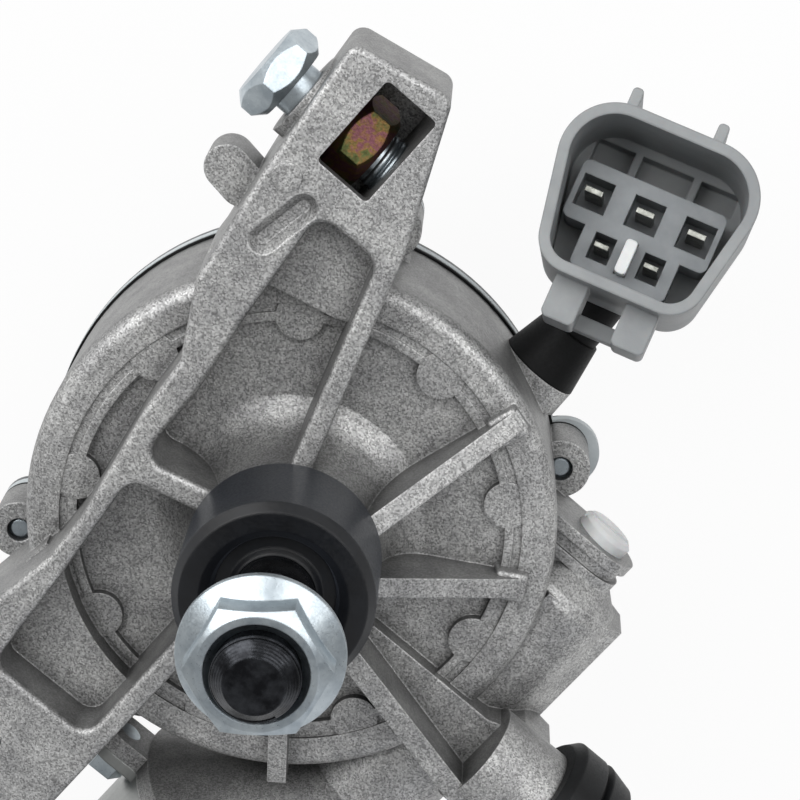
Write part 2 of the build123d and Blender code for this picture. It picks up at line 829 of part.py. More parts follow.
# Output shaft with circlip groove, serrated crank seat and chamfered end
with BuildPart() as output_shaft:
    with BuildSketch(Plane.XZ):
        with BuildLine():
            Polyline(
                (0, shaft_bottom_z),
                (shaft_radius - shaft_foot_chamfer, shaft_bottom_z),
                (shaft_radius, shaft_bottom_z + shaft_foot_chamfer),
                (shaft_radius, circlip_z),
                (shaft_radius - circlip_groove_depth, circlip_z),
                (shaft_radius - circlip_groove_depth, circlip_z + circlip_thickness),
                (shaft_radius, circlip_z + circlip_thickness),
                (shaft_radius, shaft_top_z - shaft_radius + shaft_tip_radius),
                (shaft_tip_radius, shaft_top_z),
                (0, shaft_top_z),
                close=True,
            )
        make_face()
    revolve(axis=Axis.Z)
    with BuildSketch(Plane.XY.offset(serration_bottom_z)):
        with PolarLocations(shaft_radius, serration_count):
            RegularPolygon(serration_depth * 1.6, 4)
    extrude(amount=serration_top_z - serration_bottom_z, mode=Mode.SUBTRACT)
output_shaft.part.label = "output_shaft"
export_step(output_shaft.part, "parts/output_shaft.step")


def bush(name, bottom, inner, outer, length):
    """A plain round bush on the output shaft's axis."""
    with BuildPart() as ring:
        with BuildSketch(Plane.XY.offset(bottom)):
            Circle(outer)
            Circle(inner, mode=Mode.SUBTRACT)
        extrude(amount=length)
    ring.part.label = name
    export_step(ring.part, f"parts/{name}.step")


bush("lower_bush", boss_bottom_z + bush_set_up, shaft_radius + running_gap, bush_outer_radius, bush_length)
bush("upper_bush", hub_top_z - bush_length, shaft_radius + running_gap, bush_outer_radius, bush_length)
bush("thrust_washer", thrust_z, shaft_radius + running_gap, washer_outer_radius, washer_thickness)
bush("top_washer", washer_z, shaft_radius + running_gap, washer_outer_radius, washer_thickness)
seal_z = hub_top_z - bush_length - seal_height - assembly_gap
bush("shaft_seal", seal_z, shaft_radius + running_gap, bush_outer_radius - press_gap, seal_height)

# Circlip, open at one side
with BuildPart() as circlip:
    with BuildSketch(Plane.XY.offset(circlip_z + press_gap)):
        Circle(circlip_outer_radius)
        Circle(shaft_radius - circlip_groove_depth + press_gap, mode=Mode.SUBTRACT)
        with Locations((0, -circlip_outer_radius)):
            Rectangle(4.0, 2 * circlip_outer_radius - 2 * shaft_radius + 5, mode=Mode.SUBTRACT)
    extrude(amount=circlip_thickness - 2 * press_gap)
circlip.part.label = "circlip"
export_step(circlip.part, "parts/circlip.step")

# Rubber cap with a dished face and a lip at the shaft
with BuildPart() as rubber_cap:
    with BuildSketch(Plane.XZ):
        with BuildLine():
            Polyline(
                (hub_radius + press_gap, cap_bottom_z),
                (cap_outer_radius, cap_bottom_z),
                (cap_outer_radius, cap_top_z - 1.4),
                (cap_front_radius, cap_top_z),
                (cap_dish_radius + 1.4, cap_top_z),
                (cap_dish_radius, cap_top_z - 1.4),
                (cap_dish_radius - 0.6, cap_top_z - cap_dish_depth),
                (shaft_radius + 1.0, cap_top_z - cap_dish_depth),
                (shaft_radius + running_gap, cap_top_z - cap_dish_depth + cap_lip_thickness),
                (shaft_radius + running_gap, cap_top_z - cap_dish_depth - cap_lip_thickness),
                (cap_dish_radius, cap_top_z - cap_dish_depth - cap_lip_thickness),
                (cap_dish_radius + 0.6, hub_top_z),
                (hub_radius + press_gap, hub_top_z),
                close=True,
            )
        make_face()
    revolve(axis=Axis.Z)
rubber_cap.part.label = "rubber_cap"
export_step(rubber_cap.part, "parts/rubber_cap.step")

# Flange nut
with BuildPart() as flange_nut:
    with BuildSketch(Plane.XZ):
        with BuildLine():
            Polyline(
                (0, nut_bottom_z),
                (nut_flange_radius, nut_bottom_z),
                (nut_flange_radius, nut_bottom_z + nut_flange_height * 0.6),
                (nut_across_flats / 2, nut_bottom_z + nut_flange_height * 1.8),
                (0, nut_bottom_z + nut_flange_height * 1.8),
                close=True,
            )
        make_face()
    revolve(axis=Axis.Z)
    with BuildSketch(Plane.XY.offset(nut_bottom_z)):
        RegularPolygon(nut_across_flats / 2, 6, major_radius=False, rotation=nut_turn)
    extrude(amount=nut_top_z - nut_bottom_z)
    with BuildSketch(Plane.XZ):
        with BuildLine():
            Polyline(
                (nut_across_flats / 2 - 0.6, nut_top_z),
                (nut_across_flats / 2 + 3, nut_top_z),
                (nut_across_flats / 2 + 3, nut_top_z - 2.2),
                close=True,
            )
        make_face()
    revolve(axis=Axis.Z, mode=Mode.SUBTRACT)
    with BuildSketch(Plane.XY.offset(nut_bottom_z)):
        Circle(shaft_radius + press_gap)
    extrude(amount=nut_top_z - nut_bottom_z, mode=Mode.SUBTRACT)
    bore_edges = flange_nut.edges().filter_by(GeomType.CIRCLE).group_by(Axis.Z)[-1]
    chamfer(bore_edges.sort_by(SortBy.RADIUS)[0], nut_countersink)
flange_nut.part.label = "flange_nut"
export_step(flange_nut.part, "parts/flange_nut.step")


def tooth_ring_points(turn):
    """The toothed outline of the wheel, turned by an angle in degrees, with a gap facing the worm."""
    slope = math.tan(math.radians(flank_angle))
    tip_half = tooth_thickness / 2 - tooth_addendum * slope
    root_half = tooth_thickness / 2 + tooth_dedendum * slope
    tip_radius = wheel_pitch_radius + tooth_addendum
    root_radius = wheel_pitch_radius - tooth_dedendum
    points = []
    for tooth in range(wheel_teeth):
        centre = turn + 360 / wheel_teeth * (tooth + 0.5)
        root_turn = math.degrees(root_half / root_radius)
        tip_turn = math.degrees(tip_half / tip_radius)
        points.append(polar(root_radius, centre - root_turn))
        points.append(polar(tip_radius, centre - tip_turn))
        points.append(polar(tip_radius, centre + tip_turn))
        points.append(polar(root_radius, centre + root_turn))
    return points


# Worm wheel: helical teeth as a ruled loft, a web with round holes, and a hub on the shaft
half_twist = math.degrees(wheel_face / 2 * lead_slope / wheel_pitch_radius)
with BuildPart() as worm_wheel:
    with BuildSketch(Plane.XY.offset(wheel_bottom_z)):
        with BuildLine():
            Polyline(*tooth_ring_points(-half_twist), close=True)
        make_face()
    with BuildSketch(Plane.XY.offset(wheel_top_z)):
        with BuildLine():
            Polyline(*tooth_ring_points(half_twist), close=True)
        make_face()
    loft(ruled=True)
    with BuildSketch(Plane.XY.offset(worm_z + wheel_web / 2)):
        Circle(wheel_pitch_radius - tooth_dedendum - wheel_rim)
        Circle(wheel_hub_radius, mode=Mode.SUBTRACT)
    extrude(amount=wheel_face, mode=Mode.SUBTRACT)
    with BuildSketch(Plane.XY.offset(wheel_top_z)):
        Circle(wheel_hub_radius)
    extrude(amount=wheel_hub_overhang)
    with BuildSketch(Plane.XY.offset(wheel_bottom_z)):
        with PolarLocations((wheel_hub_radius + contact_disc_outer_radius) / 2, wheel_hole_count):
            Circle(wheel_hole_radius)
    extrude(amount=wheel_face, mode=Mode.SUBTRACT)
    with BuildSketch(Plane.XY.offset(shaft_bottom_z)):
        Circle(shaft_radius + press_gap)
    extrude(amount=wheel_hub_top_z - shaft_bottom_z, mode=Mode.SUBTRACT)
worm_wheel.part.label = "worm_wheel"
export_step(worm_wheel.part, "parts/worm_wheel.step")

# Park contact disc under the wheel, with one notch in its rim
with BuildPart() as contact_disc:
    with BuildSketch(Plane.XY.offset(wheel_bottom_z - contact_disc_thickness)):
        Circle(contact_disc_outer_radius)
        with BuildLine():
            notch_reach = 1.1 * contact_disc_outer_radius
            notch_start = polar(notch_reach, 180 - park_notch_angle / 2)
            notch_end = polar(notch_reach, 180 + park_notch_angle / 2)
            Polyline((-park_notch_point, 0), notch_start, notch_end, close=True)
        make_face(mode=Mode.SUBTRACT)
        Circle(contact_disc_inner_radius + park_track_width)
        Circle(contact_disc_inner_radius, mode=Mode.SUBTRACT)
    extrude(amount=contact_disc_thickness)
contact_disc.part.label = "contact_disc"
export_step(contact_disc.part, "parts/contact_disc.step")

# Contact fingers: three bent strips on the contact plate, sprung against the disc
with BuildPart() as contact_fingers:
    finger_tip_z = wheel_bottom_z - contact_disc_thickness - contact_gap
    for finger in range(finger_count):
        offset_x = finger_first_x + finger * finger_pitch
        with BuildSketch(Plane.YZ.offset(offset_x - finger_width / 2)):
            with BuildLine():
                Polyline(
                    (-finger_reach, gasket_z),
                    (-finger_reach + finger_foot, gasket_z),
                    (-1.0, finger_tip_z - finger_sheet),
                    (1.5, finger_tip_z - finger_sheet),
                    (1.5, finger_tip_z),
                    (-1.3, finger_tip_z),
                    (-finger_reach + finger_foot - 0.3, gasket_z + finger_sheet),
                    (-finger_reach, gasket_z + finger_sheet),
                    close=True,
                )
            make_face()
        extrude(amount=finger_width)
contact_fingers.part.label = "contact_fingers"
export_step(contact_fingers.part, "parts/contact_fingers.step")

# Armature shaft with its worm thread, cut on the shaft's own axis and then laid in place
with BuildPart() as thread_blank:
    with BuildLine() as thread_path:
        Helix(thread_pitch, worm_length, worm_pitch_radius, center=(0, 0, -worm_length / 2))
    start_plane = Plane(
        origin=thread_path.line @ 0,
        x_dir=(1, 0, 0),
        z_dir=thread_path.line % 0,
    )
    with BuildSketch(start_plane):
        slope = math.tan(math.radians(flank_angle))
        with BuildLine():
            Polyline(
                (-tooth_dedendum - 0.3, -thread_thickness / 2 - (tooth_dedendum + 0.3) * slope),
                (tooth_addendum, -thread_thickness / 2 + tooth_addendum * slope),
                (tooth_addendum, thread_thickness / 2 - tooth_addendum * slope),
                (-tooth_dedendum - 0.3, thread_thickness / 2 + (tooth_dedendum + 0.3) * slope),
                close=True,
            )
        make_face()
    sweep(path=thread_path.line, is_frenet=True)
# turned so that the middle of the thread's length lies on the side that faces the wheel
thread_start_turn = 180 - 360 * (worm_length / 2 / thread_pitch)
with BuildPart() as armature_shaft:
    with BuildSketch(axial_plane):
        with BuildLine():
            Polyline(
                (shaft_nose, 0),
                (shaft_nose, 2.6),
                (shaft_nose + 0.6, 3.2),
                (-worm_length / 2 - 1.5, 3.2),
                (-worm_length / 2 - 1.0, worm_pitch_radius - tooth_dedendum),
                (worm_length / 2 + 1.0, worm_pitch_radius - tooth_dedendum),
                (worm_length / 2 + 1.5, armature_shaft_radius),
                (yoke_end - 2.0, armature_shaft_radius),
                (yoke_end - 1.5, armature_shaft_radius - 0.5),
                (yoke_end - 1.5, 0),
                close=True,
            )
        make_face()
    revolve(axis=worm_axis)
    with Locations(worm_plane.location * Rotation(0, 0, thread_start_turn)):
        add(thread_blank.part)
armature_shaft.part.label = "armature_shaft"
export_step(armature_shaft.part, "parts/armature_shaft.step")

# Sintered drive end bearing in the tunnel
with BuildPart() as drive_bearing:
    with BuildSketch(across(worm_plane, bearing_start)):
        Circle(bearing_outer_radius)
        Circle(armature_shaft_radius + running_gap, mode=Mode.SUBTRACT)
    extrude(amount=bearing_length)
    chamfer(drive_bearing.edges().filter_by(GeomType.CIRCLE).sort_by(Axis.Y)[-1], 0.6)
drive_bearing.part.label = "drive_bearing"
export_step(drive_bearing.part, "parts/drive_bearing.step")

# White end plug with a screwdriver slot, and the steel thrust pin behind it
with BuildPart() as end_plug:
    with BuildSketch(across(worm_plane, tunnel_nose - plug_proud)):
        Circle(plug_radius)
    extrude(amount=plug_proud + plug_depth)
    chamfer(end_plug.edges().group_by(Axis.Y)[-1], 0.7)
    with BuildSketch(across(worm_plane, tunnel_nose - plug_proud)):
        Rectangle(2 * plug_radius, plug_slot_width)
    extrude(amount=plug_slot_depth, mode=Mode.SUBTRACT)
end_plug.part.label = "end_plug"
export_step(end_plug.part, "parts/end_plug.step")

with BuildPart() as thrust_pin:
    with BuildSketch(across(worm_plane, tunnel_nose + plug_depth)):
        Circle(armature_shaft_radius - 1)
    extrude(amount=shaft_nose - running_gap - tunnel_nose - plug_depth)
thrust_pin.part.label = "thrust_pin"
export_step(thrust_pin.part, "parts/thrust_pin.step")

# Motor yoke: drawn steel cup with two ears and a bearing boss
with BuildPart() as motor_yoke:
    with BuildSketch(axial_plane):
        with BuildLine():
            Polyline(
                (yoke_mouth, yoke_radius - yoke_wall),
                (yoke_mouth, yoke_radius),
                (yoke_end - yoke_boss_length, yoke_radius),
                (yoke_end - yoke_boss_length, yoke_boss_radius),
                (yoke_end, yoke_boss_radius),
                (yoke_end, 0),
                (yoke_end - yoke_end_wall, 0),
                (yoke_end - yoke_end_wall, rear_bush_outer_radius + press_gap),
                (yoke_end - yoke_boss_length - yoke_wall, rear_bush_outer_radius + press_gap),
                (yoke_end - yoke_boss_length - yoke_wall, yoke_radius - yoke_wall),
                close=True,
            )
        make_face()
    revolve(axis=worm_axis)
    shoulder = motor_yoke.edges().filter_by(GeomType.CIRCLE).sort_by(Axis.Y)
    fillet([edge for edge in shoulder if abs(edge.radius - yoke_radius) < press_gap][0], yoke_shoulder_round)
    with BuildSketch(across(worm_plane, yoke_mouth)):
        with GridLocations(2 * motor_ear_centre, 1, 2, 1):
            Circle(motor_ear_radius)
        Rectangle(2 * motor_ear_centre, 2 * motor_ear_radius)
        Circle(yoke_radius - yoke_wall, mode=Mode.SUBTRACT)
        with GridLocations(2 * motor_ear_centre, 1, 2, 1):
            Circle(screw_radius + press_gap, mode=Mode.SUBTRACT)
    extrude(amount=yoke_flange_thickness)
motor_yoke.part.label = "motor_yoke"
export_step(motor_yoke.part, "parts/motor_yoke.step")

# Two yoke screws with hexagon heads
with BuildPart() as yoke_screws:
    with BuildSketch(across(worm_plane, yoke_mouth + yoke_flange_thickness)):
        with GridLocations(2 * motor_ear_centre, 1, 2, 1):
            RegularPolygon(yoke_screw_across_flats / 2, 6, major_radius=False)
    extrude(amount=yoke_screw_head_height)
    with BuildSketch(across(worm_plane, funnel_end)):
        with GridLocations(2 * motor_ear_centre, 1, 2, 1):
            Circle(screw_radius)
    extrude(amount=yoke_mouth + yoke_flange_thickness - funnel_end)
yoke_screws.part.label = "yoke_screws"
export_step(yoke_screws.part, "parts/yoke_screws.step")

# Two arc magnets inside the yoke
with BuildPart() as magnets:
    with BuildSketch(across(worm_plane, magnet_start)):
        for middle in (90, 270):
            with BuildLine():
                outer_arc = CenterArc((0, 0), magnet_outer_radius, middle - magnet_arc / 2, magnet_arc)
                inner_arc = CenterArc((0, 0), magnet_inner_radius, middle - magnet_arc / 2, magnet_arc)
                Line(outer_arc @ 0, inner_arc @ 0)
                Line(outer_arc @ 1, inner_arc @ 1)
            make_face()
    extrude(amount=magnet_end - magnet_start)
magnets.part.label = "magnets"
export_step(magnets.part, "parts/magnets.step")

# Slotted armature core
slot_top_radius = core_radius - tooth_tip_thickness
slot_length = slot_top_radius - slot_floor_radius
slot_middle = (slot_top_radius + slot_floor_radius) / 2
with BuildPart() as armature_core:
    with BuildSketch(across(worm_plane, core_start)):
        Circle(core_radius)
        Circle(armature_shaft_radius + press_gap, mode=Mode.SUBTRACT)
        with PolarLocations(slot_middle, core_slots):
            Rectangle(slot_length, slot_width, mode=Mode.SUBTRACT)
        with PolarLocations(core_radius, core_slots):
            Rectangle(2 * tooth_tip_thickness + 1, slot_mouth_width, mode=Mode.SUBTRACT)
    extrude(amount=core_end - core_start)
armature_core.part.label = "armature_core"
export_step(armature_core.part, "parts/armature_core.step")

# Windings: a bar in each slot and a bundle at each end
with BuildPart() as windings:
    with BuildSketch(across(worm_plane, core_start - winding_overhang)):
        with PolarLocations(slot_middle, core_slots):
            Rectangle(slot_length - assembly_gap, slot_width - assembly_gap)
    extrude(amount=core_end - core_start + 2 * winding_overhang)
    for bundle_start in (core_start - winding_overhang, core_end + press_gap):
        with BuildSketch(across(worm_plane, bundle_start)):
            Circle(winding_outer_radius)
            Circle(armature_shaft_radius + press_gap, mode=Mode.SUBTRACT)
        extrude(amount=winding_overhang - press_gap)
windings.part.label = "windings"
export_step(windings.part, "parts/windings.step")

# Commutator with its slits
with BuildPart() as commutator:
    with BuildSketch(across(worm_plane, commutator_start)):
        Circle(commutator_radius)
        with PolarLocations(commutator_radius, commutator_bars):
            Rectangle(2 * commutator_slit_depth, commutator_slit_width, mode=Mode.SUBTRACT)
        Circle(armature_shaft_radius + press_gap, mode=Mode.SUBTRACT)
    extrude(amount=commutator_end - commutator_start)
commutator.part.label = "commutator"
export_step(commutator.part, "parts/commutator.step")

# Brush holder: a round plate with three boxes round the commutator
box_start = brush_plate_start + brush_plate_thickness
box_inner_radius = commutator_radius + 1.5
box_outer_radius = commutator_radius + running_gap + brush_length + brush_spring_room + brush_box_wall
box_length = box_outer_radius - box_inner_radius
box_inside = brush_width + 2 * press_gap
with BuildPart() as brush_holder:
    with BuildSketch(across(worm_plane, brush_plate_start)):
        Circle(brush_plate_radius)
        Circle(box_inner_radius, mode=Mode.SUBTRACT)
    extrude(amount=brush_plate_thickness)
    with BuildSketch(across(worm_plane, box_start)):
        with PolarLocations((box_inner_radius + box_outer_radius) / 2, brush_count, first_brush_angle):
            Rectangle(box_length, box_inside + 2 * brush_box_wall)
        with PolarLocations(
            (box_inner_radius + box_outer_radius) / 2 - brush_box_wall, brush_count, first_brush_angle
        ):
            Rectangle(box_length, box_inside, mode=Mode.SUBTRACT)
    extrude(amount=brush_depth)
brush_holder.part.label = "brush_holder"
export_step(brush_holder.part, "parts/brush_holder.step")

# Brushes and their coil springs
with BuildPart() as brushes:
    with BuildSketch(across(worm_plane, box_start + press_gap)):
        with PolarLocations(
            commutator_radius + running_gap + brush_length / 2, brush_count, first_brush_angle
        ):
            Rectangle(brush_length, brush_width)
    extrude(amount=brush_depth - 1)
brushes.part.label = "brushes"
export_step(brushes.part, "parts/brushes.step")

spring_start = commutator_radius + running_gap + brush_length
with BuildPart() as spring_blank:
    with BuildLine() as coil:
        Helix(spring_pitch, brush_spring_room - spring_wire, spring_radius, center=(0, 0, spring_wire / 2))
    coil_plane = Plane(origin=coil.line @ 0, x_dir=(1, 0, 0), z_dir=coil.line % 0)
    with BuildSketch(coil_plane):
        Rectangle(spring_wire, spring_wire)
    sweep(path=coil.line, is_frenet=True)
with BuildPart() as brush_springs:
    for index in range(brush_count):
        turn = Rotation(0, 0, first_brush_angle + 360 / brush_count * index)
        seat = Location((spring_start, 0, box_start + brush_depth / 2), (0, 90, 0))
        with Locations(worm_plane.location * turn * seat):
            add(spring_blank.part)
brush_springs.part.label = "brush_springs"
export_step(brush_springs.part, "parts/brush_springs.step")

# Rear bush in the yoke's boss
with BuildPart() as rear_bush:
    with BuildSketch(across(worm_plane, yoke_end - yoke_end_wall - rear_bush_length)):
        Circle(rear_bush_outer_radius)
        Circle(armature_shaft_radius + running_gap, mode=Mode.SUBTRACT)
    extrude(amount=rear_bush_length)
rear_bush.part.label = "rear_bush"
export_step(rear_bush.part, "parts/rear_bush.step")

# Cross bolts of the two arms, heads standing off their faces, with their captured nuts
with BuildPart() as arm_bolts:
    for face_x, bolt_y in zip(arm_face_x, arm_bolt_y):
        bolt_plane = Plane(
            origin=(face_x - bolt_head_gap, bolt_y, arm_bolt_z), x_dir=(0, 1, 0), z_dir=(1, 0, 0)
        )
        with BuildSketch(bolt_plane):
            Circle(bolt_radius)
        extrude(amount=bolt_length)
        chamfer(arm_bolts.edges().filter_by(GeomType.CIRCLE).sort_by(Axis.X)[-1], 0.8)
        head_plane = across(bolt_plane, -bolt_head_height)
        head = hexagon_block(
            head_plane, bolt_head_across_flats, bolt_head_height, bolt_head_chamfer, bolt_turn
        )
        add(head)
arm_bolts.part.label = "arm_bolts"
export_step(arm_bolts.part, "parts/arm_bolts.step")

with BuildPart() as arm_nuts:
    for window_x, bolt_y in zip(arm_window_start_x, arm_bolt_y):
        nut_plane = Plane(
            origin=(window_x + assembly_gap, bolt_y, arm_bolt_z), x_dir=(0, 1, 0), z_dir=(1, 0, 0)
        )
        nut = hexagon_block(
            nut_plane, small_nut_across_flats, small_nut_height, bolt_head_chamfer, bolt_turn
        )
        add(nut)
        with BuildSketch(nut_plane):
            Circle(bolt_radius + press_gap)
        extrude(amount=small_nut_height, mode=Mode.SUBTRACT)
arm_nuts.part.label = "arm_nuts"
export_step(arm_nuts.part, "parts/arm_nuts.step")

# Rubber grommet of the third arm, held by a barb in the boss, and its steel sleeve
grommet_plane = Plane(origin=(boss_start_x, third_arm_y, arm_bolt_z), x_dir=(1, 0, 0), z_dir=(0, -1, 0))
grommet_axis = Axis(grommet_plane.origin, (1, 0, 0))
grommet_length = third_boss_length + grommet_outer_length
grommet_waist = third_boss_length + grommet_outer_length / 2
with BuildPart() as mount_grommet:
    with BuildSketch(grommet_plane):
        with BuildLine():
            Polyline(
                (press_gap, grommet_bore_radius),
                (press_gap, grommet_neck_radius),
                (grommet_barb_start + press_gap, grommet_neck_radius),
                (grommet_barb_start + press_gap, grommet_neck_radius + grommet_barb_height),
                (grommet_barb_start + grommet_barb_length - press_gap, grommet_neck_radius),
                (third_boss_length + press_gap, grommet_neck_radius),
                (third_boss_length + press_gap, grommet_radius - grommet_round),
                (third_boss_length + grommet_round, grommet_radius),
                (grommet_waist - grommet_groove / 2, grommet_radius),
                (grommet_waist, grommet_radius - grommet_groove),
                (grommet_waist + grommet_groove / 2, grommet_radius),
                (grommet_length - grommet_round, grommet_radius - grommet_taper),
                (grommet_length, grommet_radius - grommet_taper - grommet_round),
                (grommet_length, grommet_bore_radius),
                close=True,
            )
        make_face()
    revolve(axis=grommet_axis)
mount_grommet.part.label = "mount_grommet"
export_step(mount_grommet.part, "parts/mount_grommet.step")

with BuildPart() as grommet_sleeve:
    with BuildSketch(Plane.YZ.offset(boss_start_x + press_gap)):
        with Locations((third_arm_y, arm_bolt_z)):
            Circle(grommet_bore_radius - press_gap)
            Circle(sleeve_bore_radius, mode=Mode.SUBTRACT)
    extrude(amount=grommet_length - press_gap)
grommet_sleeve.part.label = "grommet_sleeve"
export_step(grommet_sleeve.part, "parts/grommet_sleeve.step")

# Connector shell, in its own plane with the socket opening along the plane's normal
connector_plane = Plane(origin=connector_front, x_dir=connector_wide, z_dir=connector_axis)
shell_outline = (
    (-shell_top_half_width, shell_height / 2),
    (shell_top_half_width, shell_height / 2),
    (shell_bottom_half_width, -shell_height / 2),
    (-shell_bottom_half_width, -shell_height / 2),
)
shell_back = shell_depth + shell_floor
with BuildPart() as connector_shell:
    with BuildSketch(across(connector_plane, -shell_back)) as outside:
        with BuildLine():
            Polyline(*shell_outline, close=True)
        make_face()
        fillet(outside.vertices().group_by(Axis.Y)[-1], shell_top_round)
        fillet(outside.vertices().group_by(Axis.Y)[0], shell_bottom_round)
    extrude(amount=shell_back)
    with BuildSketch(across(connector_plane, -shell_depth)) as inside:
        with BuildLine():
            Polyline(*shell_outline, close=True)
        make_face()
        fillet(inside.vertices().group_by(Axis.Y)[-1], shell_top_round)
        fillet(inside.vertices().group_by(Axis.Y)[0], shell_bottom_round)
        offset(amount=-shell_wall, mode=Mode.REPLACE)
    extrude(amount=shell_depth, mode=Mode.SUBTRACT)
    # dark slots in the floor above the insert
    with BuildSketch(across(connector_plane, -shell_depth)):
        with Locations((-side_slot_x, floor_slot_y), (side_slot_x, floor_slot_y)):
            Rectangle(side_slot_width, floor_slot_height)
        with Locations((0, floor_slot_y)):
            Rectangle(middle_slot_width, floor_slot_height)
    extrude(amount=-floor_slot_depth, mode=Mode.SUBTRACT)
    # round skirt for the harness sleeve
    with BuildSketch(across(connector_plane, -shell_back)):
        Circle(harness_radius + shell_skirt_wall)
    extrude(amount=-shell_skirt_depth)
    with BuildSketch(across(connector_plane, -shell_back - shell_skirt_depth)):
        Circle(harness_radius + press_gap)
    extrude(amount=shell_skirt_depth, mode=Mode.SUBTRACT)
    # two keying ribs on the wide side
    with BuildSketch(across(connector_plane, -shell_back)):
        for rib_x in key_rib_x:
            with Locations((rib_x, shell_height / 2)):
                RectangleRounded(key_rib_width, 2 * key_rib_proud, key_rib_width / 2.5)
    extrude(amount=shell_back - key_rib_set_back)
    # latch under the narrow side: two posts and the bar between them
    with BuildSketch(across(connector_plane, -latch_start - latch_length)):
        with Locations((0, -shell_height / 2 - latch_reach / 2)):
            with GridLocations(latch_width - latch_post_width, 1, 2, 1):
                RectangleRounded(latch_post_width, latch_reach + 1, 1.0)
    extrude(amount=latch_length)
    with BuildSketch(across(connector_plane, -latch_start - latch_length)):
        with Locations((0, -shell_height / 2 - latch_reach + latch_bar_reach / 2)):
            Rectangle(latch_width - latch_post_width, latch_bar_reach)
    extrude(amount=latch_bar_length)
    with BuildSketch(across(connector_plane, -shell_depth)) as socket_bottom:
        with BuildLine():
            Polyline(*shell_outline, close=True)
        make_face()
        fillet(socket_bottom.vertices().group_by(Axis.Y)[-1], shell_top_round)
        fillet(socket_bottom.vertices().group_by(Axis.Y)[0], shell_bottom_round)
        offset(amount=-shell_wall, mode=Mode.REPLACE)
    extrude(amount=shell_depth, mode=Mode.SUBTRACT)
connector_shell.part.label = "connector_shell"
export_step(connector_shell.part, "parts/connector_shell.step")

# Terminal insert standing on the socket's floor
with BuildPart() as connector_insert:
    with BuildSketch(across(connector_plane, -shell_depth + press_gap)):
        with Locations((0, large_row_y)):
            RectangleRounded(insert_width, insert_height, 1.2)
        with Locations((0, small_row_y)):
            RectangleRounded(insert_foot_width, insert_foot_height, 1.0)
    extrude(amount=insert_proud)
    with BuildSketch(across(connector_plane, -shell_depth + press_gap + insert_proud)):
        with Locations((0, large_row_y)):
            with GridLocations(cavity_pitch, 1, 3, 1):
                Rectangle(cavity_size, cavity_size)
        with Locations((0, small_row_y)):
            with GridLocations(small_cavity_pitch, 1, 2, 1):
                Rectangle(small_cavity_width, small_cavity_height)
            Rectangle(lock_width + 2 * press_gap, lock_height + 2 * press_gap)
    extrude(amount=-cavity_depth, mode=Mode.SUBTRACT)
connector_insert.part.label = "connector_insert"
export_step(connector_insert.part, "parts/connector_insert.step")

cavity_floor = -shell_depth + insert_proud - cavity_depth + 2 * press_gap
with BuildPart() as large_blades:
    with BuildSketch(across(connector_plane, cavity_floor)):
        with Locations((0, large_row_y)):
            with GridLocations(cavity_pitch, 1, 3, 1):
                Rectangle(*large_blade)
    extrude(amount=blade_length)
large_blades.part.label = "large_blades"
export_step(large_blades.part, "parts/large_blades.step")

with BuildPart() as small_blades:
    with BuildSketch(across(connector_plane, cavity_floor)):
        with Locations((0, small_row_y)):
            with GridLocations(small_cavity_pitch, 1, 2, 1):
                Rectangle(*small_blade)
    extrude(amount=blade_length)
small_blades.part.label = "small_blades"
export_step(small_blades.part, "parts/small_blades.step")

with BuildPart() as terminal_lock:
    with BuildSketch(across(connector_plane, cavity_floor)):
        with Locations((0, small_row_y)):
            RectangleRounded(lock_width, lock_height, 0.6)
    extrude(amount=cavity_depth + lock_proud)
terminal_lock.part.label = "terminal_lock"
export_step(terminal_lock.part, "parts/terminal_lock.step")

# Harness grommet in the drum's wall, and the moulded sleeve that carries the connector
with BuildPart() as harness_grommet:
    with BuildSketch(harness_plane):
        Circle(harness_grommet_radius)
        Circle(harness_radius - 1, mode=Mode.SUBTRACT)
    extrude(amount=harness_reach)
    with BuildSketch(across(harness_plane, harness_reach)):
        Circle(harness_grommet_flange)
    extrude(amount=harness_boot_length, taper=harness_boot_taper)
    with BuildSketch(across(harness_plane, harness_reach)):
        Circle(harness_radius - 1)
    extrude(amount=harness_boot_length, mode=Mode.SUBTRACT)
harness_grommet.part.label = "harness_grommet"
export_step(harness_grommet.part, "parts/harness_grommet.step")

sleeve_start = across(harness_plane, harness_reach + harness_boot_length).origin
sleeve_end = across(connector_plane, -shell_back).origin
sleeve_points = (
    sleeve_start,
    sleeve_start + harness_plane.z_dir * sleeve_first_run,
    sleeve_end - connector_plane.z_dir * sleeve_last_run,
    sleeve_end,
)
sleeve_turns = [
    (second - first).get_angle(third - second)
    for first, second, third in zip(sleeve_points, sleeve_points[1:], sleeve_points[2:])
]
sleeve_runs = [(second - first).length for first, second in zip(sleeve_points, sleeve_points[1:])]
sleeve_bends = (
    min(0.9 * sleeve_runs[0], 0.3 * sleeve_runs[1]),
    min(0.6 * sleeve_runs[1], 0.9 * sleeve_runs[2]),
)
sleeve_radii = [bend / math.tan(math.radians(turn / 2)) for bend, turn in zip(sleeve_bends, sleeve_turns)]
with BuildPart() as harness_sleeve:
    with BuildLine() as sleeve_path:
        FilletPolyline(*sleeve_points, radius=sleeve_radii)
    with BuildSketch(Plane(origin=sleeve_path.line @ 0, z_dir=sleeve_path.line % 0)):
        Circle(harness_radius)
    sweep(path=sleeve_path.line)
harness_sleeve.part.label = "harness_sleeve"
export_step(harness_sleeve.part, "parts/harness_sleeve.step")
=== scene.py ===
# %% [markdown]
# A wiper motor, dressed for the camera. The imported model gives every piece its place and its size, in
# metres, and this script gives it finishes, threads and other fine detail, a floor, light and a camera.

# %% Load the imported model
import bmesh
import bpy
import math
from mathutils import Matrix, Vector


